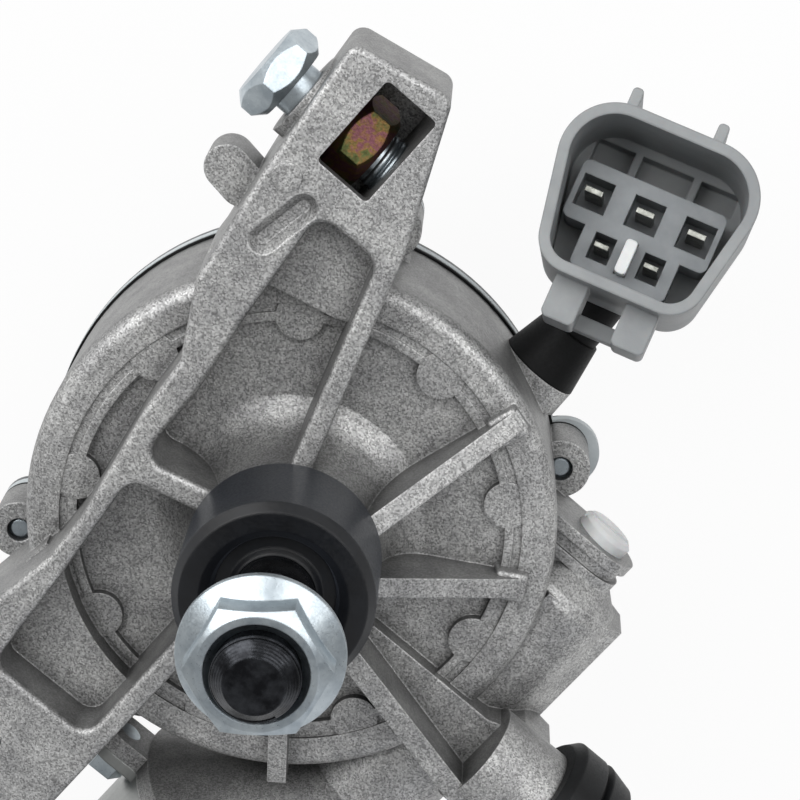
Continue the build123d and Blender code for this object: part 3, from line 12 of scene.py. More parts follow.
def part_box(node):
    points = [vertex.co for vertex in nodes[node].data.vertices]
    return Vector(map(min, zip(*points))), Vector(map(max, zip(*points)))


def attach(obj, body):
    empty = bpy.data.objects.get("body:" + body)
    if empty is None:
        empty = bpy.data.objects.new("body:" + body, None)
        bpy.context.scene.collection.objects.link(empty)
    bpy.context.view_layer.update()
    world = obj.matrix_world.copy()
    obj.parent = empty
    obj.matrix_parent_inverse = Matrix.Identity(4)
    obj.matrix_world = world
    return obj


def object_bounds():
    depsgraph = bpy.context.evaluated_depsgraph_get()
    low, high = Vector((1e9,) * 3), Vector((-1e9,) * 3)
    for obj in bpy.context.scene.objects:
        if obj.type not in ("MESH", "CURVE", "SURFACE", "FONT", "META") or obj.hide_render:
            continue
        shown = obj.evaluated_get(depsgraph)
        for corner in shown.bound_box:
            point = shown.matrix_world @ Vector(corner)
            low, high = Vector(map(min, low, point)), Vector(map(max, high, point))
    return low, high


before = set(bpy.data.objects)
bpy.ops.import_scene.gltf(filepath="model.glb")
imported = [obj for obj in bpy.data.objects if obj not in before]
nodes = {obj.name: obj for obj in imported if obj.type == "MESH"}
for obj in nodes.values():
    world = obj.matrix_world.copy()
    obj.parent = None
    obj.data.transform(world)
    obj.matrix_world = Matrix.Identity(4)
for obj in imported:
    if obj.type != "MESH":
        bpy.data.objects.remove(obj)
scene = bpy.context.scene
cad_low, cad_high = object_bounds()
MM = 0.001  # The frame is in metres, and sizes below are easier to read in millimetres.
print("nodes:", len(nodes))

# %% [markdown]
# The photograph looks almost straight down the output shaft from close by, so the nut at the shaft's end
# looks large. A lens of 112 mm, 38 cm from the gear case, gives the same crowding. The camera is set by
# three directions that stand square to each other: its right, its up, and the way back towards the
# photographer.

# %% Camera
camera_place = Vector((-0.0671, 0.1232, 0.3941))
camera_back = Vector((-0.1747, 0.2541, 0.9513)).normalized()
rough_right = Vector((0.7508, 0.6594, -0.0383))
camera_up = camera_back.cross(rough_right).normalized()
camera_right = camera_up.cross(camera_back)

camera_data = bpy.data.cameras.new("camera")
camera_data.sensor_width = 36.0
camera_data.lens = 111.9
camera_data.clip_start = 0.02
camera = bpy.data.objects.new("camera", camera_data)
scene.collection.objects.link(camera)
turn = Matrix((camera_right, camera_up, camera_back)).transposed().to_4x4()
camera.matrix_world = Matrix.Translation(camera_place) @ turn
scene.camera = camera
print("camera looks along", -camera_back)

# %% [markdown]
# Colours are picked as sRGB hex codes, as any drawing program gives them, but shaders calculate in linear
# light, so one function turns the codes. A second small function adds a node with its settings and links,
# which keeps each material short enough to read.


# %% Colours and nodes
def linear(code):
    """An sRGB hex colour as linear red, green, blue and alpha."""
    channels = [int(code[i : i + 2], 16) / 255 for i in (1, 3, 5)]
    return [c / 12.92 if c <= 0.04045 else ((c + 0.055) / 1.055) ** 2.4 for c in channels] + [1.0]


def add_node(tree, kind, settings=None, links=None):
    """Adds a node. Settings are attributes or input values, links are the sockets that feed its inputs."""
    node = tree.nodes.new(kind)
    for name, value in (settings or {}).items():
        if isinstance(name, str) and hasattr(node, name):
            setattr(node, name, value)
        else:
            node.inputs[name].default_value = value
    for name, socket in (links or {}).items():
        tree.links.new(socket, node.inputs[name])
    return node


WHITE = linear("#ffffff")
print("white in linear light:", WHITE)

# %% [markdown]
# The photograph's light is broad and soft, a little stronger from the upper left. Three soft boxes and a
# pale world give that. Large boxes matter on metal, because what a plated nut shows is mostly the boxes
# themselves, mirrored.

# %% Lamps
lamp_aim = Vector((0.0, 0.0, 0.03))


def lamp(name, place, size, power, colour="#ffffff"):
    """A square soft box, turned towards the aim. Place and size are in metres, power is in watts."""
    data = bpy.data.lights.new(name, "AREA")
    data.shape = "SQUARE"
    data.size = size
    data.energy = power
    data.color = linear(colour)[:3]
    box = bpy.data.objects.new(name, data)
    box.location = place
    box.rotation_euler = (Vector(place) - lamp_aim).to_track_quat("Z", "Y").to_euler()
    scene.collection.objects.link(box)
    return box


lamps = [
    lamp("key", place=(-0.60, 0.14, 0.52), size=0.70, power=5.2),
    lamp("top", place=(0.05, 0.55, 0.65), size=0.70, power=3.4),
    lamp("fill", place=(0.60, -0.30, 0.45), size=0.80, power=0.7, colour="#f4f7ff"),
]
print("lamps:", [box.name for box in lamps])

# %% [markdown]
# The world lights soft surfaces gently, shows metal a brighter studio wall, and shows the camera plain
# white. A Light Path node tells which kind of ray is asking.

# %% World
scene.view_settings.view_transform = "Standard"
world = bpy.data.worlds.new("studio")
scene.world = world
world.use_nodes = True
tree = world.node_tree
tree.nodes.clear()
path = add_node(tree, "ShaderNodeLightPath")
soft_light = add_node(tree, "ShaderNodeBackground", {"Color": WHITE, "Strength": 0.10})
studio_wall = add_node(tree, "ShaderNodeBackground", {"Color": WHITE, "Strength": 0.36})
backdrop = add_node(tree, "ShaderNodeBackground", {"Color": WHITE, "Strength": 1.0})
mirrored = add_node(
    tree,
    "ShaderNodeMath",
    {"operation": "MAXIMUM"},
    {0: path.outputs["Is Glossy Ray"], 1: path.outputs["Is Transmission Ray"]},
)
lit = add_node(
    tree,
    "ShaderNodeMixShader",
    None,
    {0: mirrored.outputs[0], 1: soft_light.outputs[0], 2: studio_wall.outputs[0]},
)
shown = add_node(
    tree,
    "ShaderNodeMixShader",
    None,
    {0: path.outputs["Is Camera Ray"], 1: lit.outputs[0], 2: backdrop.outputs[0]},
)
add_node(tree, "ShaderNodeOutputWorld", None, {"Surface": shown.outputs[0]})
print("world:", world.name)

# %% [markdown]
# The background of the photograph is pure white. The floor is a plain diffuse sheet that takes the motor's
# shadow. For rays that come from the camera, or by way of a mirror or a glass, most of its colour is a plain
# white glow, so no lamp has to burn it out.

# %% Floor
floor_z = cad_low[2]
reach = 3.0  # metres to each side
glow_share = 0.94
corners = [(x * reach, y * reach, floor_z) for x, y in ((-1, -1), (1, -1), (1, 1), (-1, 1))]
floor_mesh = bpy.data.meshes.new("floor")
floor_mesh.from_pydata(corners, [], [(0, 1, 2, 3)])
floor = bpy.data.objects.new("floor", floor_mesh)
scene.collection.objects.link(floor)

floor_paper = bpy.data.materials.new("white_floor_paper")
floor_paper.use_nodes = True
tree = floor_paper.node_tree
tree.nodes.clear()
paper = add_node(tree, "ShaderNodeBsdfDiffuse", {"Color": linear("#f2f2f2")})
glow = add_node(tree, "ShaderNodeEmission", {"Color": WHITE, "Strength": 1.0})
path = add_node(tree, "ShaderNodeLightPath")
camera_or_mirror = add_node(
    tree,
    "ShaderNodeMath",
    {"operation": "MAXIMUM"},
    {0: path.outputs["Is Camera Ray"], 1: path.outputs["Is Glossy Ray"]},
)
seen = add_node(
    tree,
    "ShaderNodeMath",
    {"operation": "MAXIMUM"},
    {0: camera_or_mirror.outputs[0], 1: path.outputs["Is Transmission Ray"]},
)
share = add_node(
    tree, "ShaderNodeMath", {"operation": "MULTIPLY", 1: glow_share}, {0: seen.outputs[0]}
)
both = add_node(
    tree, "ShaderNodeMixShader", None, {0: share.outputs[0], 1: paper.outputs[0], 2: glow.outputs[0]}
)
add_node(tree, "ShaderNodeOutputMaterial", None, {"Surface": both.outputs[0]})
floor_mesh.materials.append(floor_paper)
print("floor at", round(floor_z / MM, 1), "mm")

# %% [markdown]
# Nearly every finish here is built the same way. Blotches a few millimetres wide shift the colour between a
# darker and a lighter tone, a fine grain shifts the gloss and raises a slight bump, and sharp corners are
# eased by a rounded normal, as on anything that was cast, moulded or rolled. One function lays these layers
# and hands back the parts, so that a finish can add what only it has.


# %% The layers that finishes share
def finish(name, dark, light, blotch, grain, depth, gloss, metallic, corner):
    """A finish from two tones. Blotch, grain, depth and corner are in mm, gloss is a roughness range."""
    material = bpy.data.materials.new(name)
    material.use_nodes = True
    tree = material.node_tree
    tree.nodes.clear()
    place = add_node(tree, "ShaderNodeTexCoord").outputs["Object"]
    blotches = add_node(
        tree,
        "ShaderNodeTexNoise",
        {"Scale": 1 / (blotch * MM), "Detail": 4.0, "Roughness": 0.6},
        {"Vector": place},
    )
    tones = add_node(tree, "ShaderNodeValToRGB", None, {"Fac": blotches.outputs["Fac"]})
    for stop, position, code in zip(tones.color_ramp.elements, (0.36, 0.64), (dark, light)):
        stop.position = position
        stop.color = linear(code)
    grains = add_node(
        tree,
        "ShaderNodeTexNoise",
        {"Scale": 1 / (grain * MM), "Detail": 3.0, "Roughness": 0.65},
        {"Vector": place},
    )
    rough = add_node(
        tree,
        "ShaderNodeMapRange",
        {"From Min": 0.3, "From Max": 0.7, "To Min": gloss[0], "To Max": gloss[1]},
        {"Value": grains.outputs["Fac"]},
    )
    eased = add_node(tree, "ShaderNodeBevel", {"samples": 4, "Radius": corner * MM})
    bump = add_node(
        tree,
        "ShaderNodeBump",
        {"Strength": 0.6, "Distance": depth * MM},
        {"Height": grains.outputs["Fac"], "Normal": eased.outputs["Normal"]},
    )
    shader = add_node(
        tree,
        "ShaderNodeBsdfPrincipled",
        {"Metallic": metallic},
        {
            "Base Color": tones.outputs["Color"],
            "Roughness": rough.outputs["Result"],
            "Normal": bump.outputs["Normal"],
        },
    )
    add_node(tree, "ShaderNodeOutputMaterial", None, {"Surface": shader.outputs["BSDF"]})
    parts = {
        "tree": tree,
        "place": place,
        "blotches": blotches,
        "tones": tones,
        "eased": eased,
        "bump": bump,
        "shader": shader,
    }
    return material, parts


dressed = set()


def wear(material, *names):
    """Puts a finish on CAD nodes, by their names."""
    for name in names:
        for slot in nodes[name].material_slots:
            slot.material = material
    dressed.update(names)
    print(material.name, "on", ", ".join(names))


# %% [markdown]
# The gear case is pressure die cast aluminium. Its flat faces come out of the die with a coarse, sparkling
# grain, while the steep walls, which slide along the die as the casting is pushed out, are smoother. Their
# colour is also darkened, which is painted shade. The corners get a painted highlight, a brighter colour.
# The grain is a Voronoi pattern of cells about 0.24 mm wide, each with its own tone. The geometry's normal
# tells steep walls from flat faces, and the difference between the eased normal and the true one marks the
# corners. Painted shade also darkens the colour where the casting closes in on itself within 5 mm.

# %% As-cast aluminium
cell_size = 0.24
# How far, in mm, the painted recess shade looks for surrounding casting.
recess_shade_reach = 5.0
cast_aluminium, layers = finish(
    "die_cast_aluminium", dark="#a4a4a4", light="#bebebd",
    blotch=6.0, grain=0.22, depth=0.08, gloss=(0.36, 0.58), metallic=0.75, corner=0.42,
)
tree = layers["tree"]
cells = add_node(
    tree, "ShaderNodeTexVoronoi", {"Scale": 1 / (cell_size * MM)}, {"Vector": layers["place"]}
)
cell_tone = add_node(tree, "ShaderNodeSeparateColor", None, {"Color": cells.outputs["Color"]})
facing = add_node(tree, "ShaderNodeNewGeometry")
facing_parts = add_node(tree, "ShaderNodeSeparateXYZ", None, {"Vector": facing.outputs["Normal"]})
upwardness = add_node(tree, "ShaderNodeMath", {"operation": "ABSOLUTE"}, {0: facing_parts.outputs["Z"]})
flatness = add_node(
    tree,
    "ShaderNodeMapRange",
    {"From Min": 0.15, "From Max": 0.75, "To Min": 0.30, "To Max": 1.0},
    {"Value": upwardness.outputs[0]},
)
speckle = add_node(
    tree,
    "ShaderNodeMapRange",
    {"From Min": 0.0, "From Max": 1.0, "To Min": 0.52, "To Max": 1.50},
    {"Value": cell_tone.outputs["Red"]},
)
speckle_gap = add_node(
    tree, "ShaderNodeMath", {"operation": "SUBTRACT", 1: 1.0}, {0: speckle.outputs["Result"]}
)
speckle_share = add_node(
    tree,
    "ShaderNodeMath",
    {"operation": "MULTIPLY"},
    {0: speckle_gap.outputs[0], 1: flatness.outputs["Result"]},
)
# Painted shade: the colour of steep walls is darkened, down to 58 percent on vertical walls.
wall_shade = add_node(
    tree,
    "ShaderNodeMapRange",
    {"From Min": 0.30, "From Max": 1.0, "To Min": 0.58, "To Max": 1.0},
    {"Value": flatness.outputs["Result"]},
)
brightness = add_node(
    tree,
    "ShaderNodeMath",
    {"operation": "ADD"},
    {0: wall_shade.outputs["Result"], 1: speckle_share.outputs[0]},
)
corner_match = add_node(
    tree,
    "ShaderNodeVectorMath",
    {"operation": "DOT_PRODUCT"},
    {0: facing.outputs["Normal"], 1: layers["eased"].outputs["Normal"]},
)
# Painted highlight: the colour is brightened at corners, convex and concave alike.
painted_corner_highlight = add_node(
    tree,
    "ShaderNodeMapRange",
    {"From Min": 0.995, "From Max": 0.86, "To Min": 0.0, "To Max": 0.50},
    {"Value": corner_match.outputs["Value"]},
)
brightened_by_highlight = add_node(
    tree,
    "ShaderNodeMath",
    {"operation": "ADD"},
    {0: brightness.outputs[0], 1: painted_corner_highlight.outputs["Result"]},
)
# Painted shade: the colour is darkened in recesses that the ambient occlusion node finds.
openness = add_node(
    tree,
    "ShaderNodeAmbientOcclusion",
    {"samples": 6, "only_local": True, "Distance": recess_shade_reach * MM},
)
painted_recess_shade = add_node(
    tree,
    "ShaderNodeMapRange",
    {"From Min": 0.35, "From Max": 0.85, "To Min": 0.50, "To Max": 1.0},
    {"Value": openness.outputs["AO"]},
)
recess_shaded_brightness = add_node(
    tree,
    "ShaderNodeMath",
    {"operation": "MULTIPLY"},
    {0: brightened_by_highlight.outputs[0], 1: painted_recess_shade.outputs["Result"]},
)
toned = add_node(
    tree,
    "ShaderNodeVectorMath",
    {"operation": "SCALE"},
    {0: layers["tones"].outputs["Color"], "Scale": recess_shaded_brightness.outputs[0]},
)
tree.links.new(toned.outputs["Vector"], layers["shader"].inputs["Base Color"])
pits = add_node(
    tree,
    "ShaderNodeBump",
    {"Strength": 0.5, "Distance": 0.08 * MM},
    {"Height": cell_tone.outputs["Green"], "Normal": layers["bump"].outputs["Normal"]},
)
tree.links.new(pits.outputs["Normal"], layers["shader"].inputs["Normal"])
wear(cast_aluminium, "gear_housing")

# %% [markdown]
# Nuts, bolts and screws are steel with clear zinc plating: bright, a little blue, and mottled by the bath.
# The plating is thin, so the finish is a full metal with low roughness, and its mottling is several
# millimetres wide. Faint, short scratches from the wrench break the highlights. The sleeve in the third
# arm's grommet is plated in the same bath.

# %% Clear zinc on steel
scratch_size = (0.25, 4.0, 2.0)  # in mm along X, Y and Z
zinc, layers = finish(
    "clear_zinc_on_steel", dark="#a7b1b8", light="#c3ccd1",
    blotch=3.0, grain=0.35, depth=0.03, gloss=(0.26, 0.44), metallic=1.0, corner=0.30,
)
tree = layers["tree"]
stretch = add_node(
    tree,
    "ShaderNodeMapping",
    {"Scale": [1 / (size * MM) for size in scratch_size]},
    {"Vector": layers["place"]},
)
scratches = add_node(
    tree, "ShaderNodeTexNoise", {"Scale": 1.0, "Detail": 2.0}, {"Vector": stretch.outputs["Vector"]}
)
scored = add_node(
    tree,
    "ShaderNodeBump",
    {"Strength": 0.25, "Distance": 0.02 * MM},
    {"Height": scratches.outputs["Fac"], "Normal": layers["bump"].outputs["Normal"]},
)
tree.links.new(scored.outputs["Normal"], layers["shader"].inputs["Normal"])
wear(zinc, "flange_nut", "arm_bolts", "cover_screws", "yoke_screws", "grommet_sleeve")

# %% [markdown]
# The nuts in the arm windows have yellow passivation instead. Its film is so thin that light waves cancel in
# it, as in a soap film, so the colour drifts between gold, green and pink. A noise pattern a few millimetres
# wide runs through a ramp of those colours.

# %% Yellow passivated zinc
yellow_zinc, layers = finish(
    "yellow_passivated_zinc", dark="#453b24", light="#77643e",
    blotch=3.6, grain=0.35, depth=0.04, gloss=(0.34, 0.58), metallic=1.0, corner=0.3,
)
film = layers["tones"].color_ramp
film.elements[0].position = 0.30
film.elements[1].position = 0.72
for position, code in ((0.40, "#474f31"), (0.48, "#6b5434"), (0.55, "#65404a"), (0.64, "#6f5335")):
    stop = film.elements.new(position)
    stop.color = linear(code)
wear(yellow_zinc, "arm_nuts")

# %% [markdown]
# The output shaft is blackened steel with an oily film: almost black, with sharp bright streaks. Turning
# leaves fine rings around its axis, so the bump is a band pattern on the distance from the axis, which is
# the frame's Z axis. The rings are drawn 0.35 mm apart, coarser than real ones, because finer ones wouldn't
# show. Blender's wave pattern runs through 20 radians in each unit, so one function turns the spacing of
# its crests, in millimetres, into its scale.

# %% Blackened shaft steel
WAVE_RADIANS = 20
ring_spacing = 0.35


def wave_scale(spacing):
    """The scale of a wave pattern whose crests are this far apart, in millimetres."""
    return 2 * math.pi / WAVE_RADIANS / (spacing * MM)


black_steel, layers = finish(
    "blackened_shaft_steel", dark="#202124", light="#404246",
    blotch=2.5, grain=0.5, depth=0.03, gloss=(0.16, 0.30), metallic=0.9, corner=0.35,
)
tree = layers["tree"]
rings = add_node(
    tree,
    "ShaderNodeTexWave",
    {
        "wave_type": "RINGS",
        "rings_direction": "Z",
        "Scale": wave_scale(ring_spacing),
        "Distortion": 0.6,
        "Detail": 1.0,
    },
    {"Vector": layers["place"]},
)
turned = add_node(
    tree,
    "ShaderNodeBump",
    {"Strength": 0.25, "Distance": 0.03 * MM},
    {"Height": rings.outputs["Fac"], "Normal": layers["bump"].outputs["Normal"]},
)
tree.links.new(turned.outputs["Normal"], layers["shader"].inputs["Normal"])
wear(black_steel, "output_shaft")

# %% [markdown]
# The armature shaft, washers, circlip and thrust pin are bare ground steel: even, cool grey and fairly
# glossy. The wire of the brush springs looks the same.

# %% Ground steel
ground_steel, _ = finish(
    "ground_steel", dark="#8e9195", light="#b4b7ba",
    blotch=4.0, grain=0.3, depth=0.015, gloss=(0.22, 0.34), metallic=1.0, corner=0.2,
)
wear(
    ground_steel,
    "armature_shaft", "thrust_washer", "top_washer", "circlip", "thrust_pin", "brush_springs",
)

# %% [markdown]
# The motor's deep drawn can is steel with a dull zinc-nickel plating. Drawing stretches the sheet along the
# can, so the mottling is drawn out along the frame's Y axis, and the gloss is even.

# %% Plated motor can
streak_width = 1.5
streak_stretch = 0.15  # of the pattern's scale along the can, so a streak is about 10 mm long
can_steel, layers = finish(
    "plated_can_steel", dark="#979998", light="#a5a7a5",
    blotch=9.0, grain=0.4, depth=0.02, gloss=(0.34, 0.48), metallic=0.9, corner=0.5,
)
tree = layers["tree"]
drawn = add_node(
    tree, "ShaderNodeMapping", {"Scale": (1.0, streak_stretch, 1.0)}, {"Vector": layers["place"]}
)
streaks = add_node(
    tree,
    "ShaderNodeTexNoise",
    {"Scale": 1 / (streak_width * MM), "Detail": 3.0},
    {"Vector": drawn.outputs["Vector"]},
)
mottled = add_node(
    tree,
    "ShaderNodeMix",
    {"data_type": "FLOAT", 0: 0.5},
    {2: layers["blotches"].outputs["Fac"], 3: streaks.outputs["Fac"]},
)
tree.links.new(mottled.outputs[0], layers["tones"].inputs["Fac"])
wear(can_steel, "motor_yoke")

# %% [markdown]
# The stamped back cover is painted a satin dark grey. Sprayed paint settles with a faint orange peel about
# 1.5 mm wide, so the bump is wider and softer than on bare metal.

# %% Painted cover
cover_paint, _ = finish(
    "satin_cover_paint", dark="#45484b", light="#55585b",
    blotch=12.0, grain=1.5, depth=0.05, gloss=(0.38, 0.50), metallic=0.0, corner=0.6,
)
wear(cover_paint, "back_cover")

# %% [markdown]
# Rubber comes in three grades. The cap is new moulded rubber with a satin skin, and fine dust gives it a
# soft blue sheen at grazing angles. The mounting grommet is duller, and the gasket, the seal and the harness
# sleeve are matt. Both duller grades mirror less than a plastic does, because their skin is open.

# %% Rubbers
cap_rubber, layers = finish(
    "satin_cap_rubber", dark="#090a0d", light="#111317",
    blotch=5.0, grain=0.4, depth=0.02, gloss=(0.30, 0.46), metallic=0.0, corner=0.5,
)
layers["shader"].inputs["Sheen Weight"].default_value = 0.08
layers["shader"].inputs["Sheen Tint"].default_value = linear("#b9c6dc")
wear(cap_rubber, "rubber_cap")

grommet_rubber, layers = finish(
    "dull_grommet_rubber", dark="#0b0c0e", light="#141618",
    blotch=5.0, grain=0.4, depth=0.03, gloss=(0.42, 0.58), metallic=0.0, corner=0.5,
)
layers["shader"].inputs["Specular IOR Level"].default_value = 0.3
wear(grommet_rubber, "mount_grommet")

matt_rubber, layers = finish(
    "matt_gasket_rubber", dark="#08090a", light="#101112",
    blotch=4.0, grain=0.35, depth=0.04, gloss=(0.48, 0.66), metallic=0.0, corner=0.5,
)
layers["shader"].inputs["Specular IOR Level"].default_value = 0.2
wear(matt_rubber, "cover_gasket", "shaft_seal", "harness_grommet", "harness_sleeve")

# %% [markdown]
# The connector is moulded in grey polyamide. The shell came from an eroded mould and has an even, matt skin
# with a grain of 0.3 mm. The insert is a little darker and glossier. Ribs and thick places sink a little,
# which the wide blotches give. A little light passes into such plastic, so a small subsurface share softens
# its edges.

# %% Grey connector plastics
shell_plastic, layers = finish(
    "grey_polyamide_shell", dark="#8c8f91", light="#9a9d9e",
    blotch=9.0, grain=0.3, depth=0.03, gloss=(0.42, 0.55), metallic=0.0, corner=0.5,
)
layers["shader"].inputs["Subsurface Weight"].default_value = 0.05
layers["shader"].inputs["Subsurface Scale"].default_value = 0.6 * MM
wear(shell_plastic, "connector_shell")

insert_plastic, layers = finish(
    "grey_polyamide_insert", dark="#7f8386", light="#8f9396",
    blotch=7.0, grain=0.3, depth=0.02, gloss=(0.38, 0.50), metallic=0.0, corner=0.3,
)
layers["shader"].inputs["Subsurface Weight"].default_value = 0.05
layers["shader"].inputs["Subsurface Scale"].default_value = 0.6 * MM
wear(insert_plastic, "connector_insert")

# %% [markdown]
# White acetal makes the end plug and the terminal lock, and natural acetal, which is slightly yellow, the
# worm wheel. Light passes a millimetre into both, which makes them look milky.

# %% Acetals
white_acetal, layers = finish(
    "white_acetal", dark="#d6d8d9", light="#e6e7e7",
    blotch=6.0, grain=0.5, depth=0.02, gloss=(0.30, 0.42), metallic=0.0, corner=0.4,
)
layers["shader"].inputs["Subsurface Weight"].default_value = 0.12
layers["shader"].inputs["Subsurface Scale"].default_value = 1.0 * MM
wear(white_acetal, "end_plug", "terminal_lock")

natural_acetal, layers = finish(
    "natural_acetal", dark="#dad5c2", light="#e8e4d5",
    blotch=8.0, grain=0.5, depth=0.02, gloss=(0.32, 0.45), metallic=0.0, corner=0.3,
)
layers["shader"].inputs["Subsurface Weight"].default_value = 0.12
layers["shader"].inputs["Subsurface Scale"].default_value = 1.0 * MM
wear(natural_acetal, "worm_wheel")

# %% [markdown]
# The contact plate is pale blue-grey polyamide with glass fibre, whose fibres lie near the skin as faint
# short streaks. The brush holder is the same plastic in black.

# %% Pale and black polyamide
fibre_size = (0.2, 2.0, 1.0)  # in mm along X, Y and Z
plate_plastic, layers = finish(
    "pale_plate_polyamide", dark="#c3cbce", light="#d6dcde",
    blotch=6.0, grain=0.4, depth=0.03, gloss=(0.40, 0.55), metallic=0.0, corner=0.4,
)
tree = layers["tree"]
laid = add_node(
    tree,
    "ShaderNodeMapping",
    {"Scale": [1 / (size * MM) for size in fibre_size]},
    {"Vector": layers["place"]},
)
fibres = add_node(
    tree, "ShaderNodeTexNoise", {"Scale": 1.0, "Detail": 2.0}, {"Vector": laid.outputs["Vector"]}
)
fibrous = add_node(
    tree,
    "ShaderNodeBump",
    {"Strength": 0.3, "Distance": 0.03 * MM},
    {"Height": fibres.outputs["Fac"], "Normal": layers["bump"].outputs["Normal"]},
)
tree.links.new(fibrous.outputs["Normal"], layers["shader"].inputs["Normal"])
wear(plate_plastic, "contact_plate")

holder_plastic, _ = finish(
    "black_holder_polyamide", dark="#1a1b1d", light="#292b2d",
    blotch=5.0, grain=0.4, depth=0.03, gloss=(0.40, 0.55), metallic=0.0, corner=0.4,
)
wear(holder_plastic, "brush_holder")

# %% [markdown]
# Bearings are sintered bronze: pressed powder full of oil, warm brown, and pitted by pores 0.2 mm wide. The
# contact disc and its fingers are rolled spring bronze, lighter and glossier.

# %% Bronzes
sintered, _ = finish(
    "oiled_sintered_bronze", dark="#7d5f37", light="#a1804c",
    blotch=3.0, grain=0.2, depth=0.06, gloss=(0.42, 0.60), metallic=0.8, corner=0.3,
)
wear(sintered, "lower_bush", "upper_bush", "drive_bearing", "rear_bush")

spring_bronze, _ = finish(
    "rolled_spring_bronze", dark="#b18a48", light="#cfac68",
    blotch=5.0, grain=0.5, depth=0.02, gloss=(0.24, 0.36), metallic=1.0, corner=0.2,
)
wear(spring_bronze, "contact_disc", "contact_fingers")

# %% [markdown]
# The blades of the connector are copper with a tin coating: pale, warm grey, half matt, and dulled in
# patches where fingers and mating blades have rubbed.

# %% Tinned blades
tinned, _ = finish(
    "tin_plated_copper", dark="#73746f", light="#a9aaa4",
    blotch=1.6, grain=0.25, depth=0.02, gloss=(0.24, 0.48), metallic=1.0, corner=0.2,
)
wear(tinned, "large_blades", "small_blades")

# %% [markdown]
# Inside the can, the armature's core is a stack of steel sheets 0.5 mm thick, so bands run across the
# frame's Y axis. The windings are copper wire in amber enamel, 0.6 mm thick, which is a band pattern with a
# little distortion. It runs along the diagonal, where Blender's wave is slower, so the wires lie 0.7 mm
# apart. The commutator is bare copper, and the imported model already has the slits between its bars.

# %% Core, windings and commutator
sheet_thickness = 0.5
wire_thickness = 0.6
core_steel, layers = finish(
    "laminated_core_steel", dark="#4a4b4d", light="#67686a",
    blotch=4.0, grain=0.4, depth=0.02, gloss=(0.38, 0.52), metallic=0.9, corner=0.2,
)
tree = layers["tree"]
sheets = add_node(
    tree,
    "ShaderNodeTexWave",
    {"bands_direction": "Y", "Scale": wave_scale(sheet_thickness), "Distortion": 0.2},
    {"Vector": layers["place"]},
)
stacked = add_node(
    tree,
    "ShaderNodeBump",
    {"Strength": 0.6, "Distance": 0.08 * MM},
    {"Height": sheets.outputs["Fac"], "Normal": layers["bump"].outputs["Normal"]},
)
tree.links.new(stacked.outputs["Normal"], layers["shader"].inputs["Normal"])
wear(core_steel, "armature_core")

enamel, layers = finish(
    "enamelled_copper_wire", dark="#7d3e1c", light="#b3673a",
    blotch=2.0, grain=0.3, depth=0.02, gloss=(0.22, 0.34), metallic=0.9, corner=0.2,
)
tree = layers["tree"]
wires = add_node(
    tree,
    "ShaderNodeTexWave",
    {
        "bands_direction": "DIAGONAL",
        "Scale": wave_scale(wire_thickness),
        "Distortion": 1.0,
        "Detail": 1.0,
    },
    {"Vector": layers["place"]},
)
wound = add_node(
    tree,
    "ShaderNodeBump",
    {"Strength": 0.9, "Distance": 0.25 * MM},
    {"Height": wires.outputs["Fac"], "Normal": layers["bump"].outputs["Normal"]},
)
tree.links.new(wound.outputs["Normal"], layers["shader"].inputs["Normal"])
wear(enamel, "windings")

bare_copper, _ = finish(
    "bare_commutator_copper", dark="#a4603c", light="#c98258",
    blotch=3.0, grain=0.3, depth=0.02, gloss=(0.22, 0.34), metallic=1.0, corner=0.2,
)
wear(bare_copper, "commutator")

# %% [markdown]
# The magnets are ground ferrite, a dark matt ceramic with a faint sparkle, and the brushes are pressed
# carbon, darker and slightly greasy.

# %% Ferrite and carbon
ferrite, _ = finish(
    "ground_ferrite", dark="#232324", light="#303031",
    blotch=4.0, grain=0.25, depth=0.04, gloss=(0.58, 0.75), metallic=0.0, corner=0.3,
)
wear(ferrite, "magnets")

carbon, _ = finish(
    "pressed_carbon", dark="#171717", light="#242424",
    blotch=2.0, grain=0.25, depth=0.03, gloss=(0.45, 0.62), metallic=0.0, corner=0.2,
)
wear(carbon, "brushes")
print("nodes without a finish:", sorted(set(nodes) - dressed))

# %% [markdown]
# Screw threads are a V-shaped ridge that climbs along a helix, so they are made as one: a spiral curve and
# a diamond profile swept along it, with the inner half of the diamond buried in the bolt. One Geometry Nodes
# tree with named sizes makes every thread here. The spiral is reversed, because an ordinary screw is
# right-handed. The curve's normals are set to Z-up, so the diamond's long way keeps pointing outwards from
# the axis.

# %% Thread tree
ridge_share = 0.46  # of the pitch to each side of the crest, so that neighbouring turns stay apart
points_per_turn = 72

thread_tree = bpy.data.node_groups.new("screw_thread", "GeometryNodeTree")
sockets = thread_tree.interface
sockets.new_socket("Geometry", in_out="INPUT", socket_type="NodeSocketGeometry")
sockets.new_socket("Geometry", in_out="OUTPUT", socket_type="NodeSocketGeometry")
for size_name in ("Radius", "Pitch", "Turns", "Depth"):
    sockets.new_socket(size_name, in_out="INPUT", socket_type="NodeSocketFloat")
for vector_name in ("Start", "Tilt"):
    sockets.new_socket(vector_name, in_out="INPUT", socket_type="NodeSocketVector")
sockets.new_socket("Finish", in_out="INPUT", socket_type="NodeSocketMaterial")
given = add_node(thread_tree, "NodeGroupInput")
height = add_node(
    thread_tree,
    "ShaderNodeMath",
    {"operation": "MULTIPLY"},
    {0: given.outputs["Pitch"], 1: given.outputs["Turns"]},
)
helix = add_node(
    thread_tree,
    "GeometryNodeCurveSpiral",
    {"Resolution": points_per_turn, "Reverse": True},
    {
        "Rotations": given.outputs["Turns"],
        "Start Radius": given.outputs["Radius"],
        "End Radius": given.outputs["Radius"],
        "Height": height.outputs[0],
    },
)
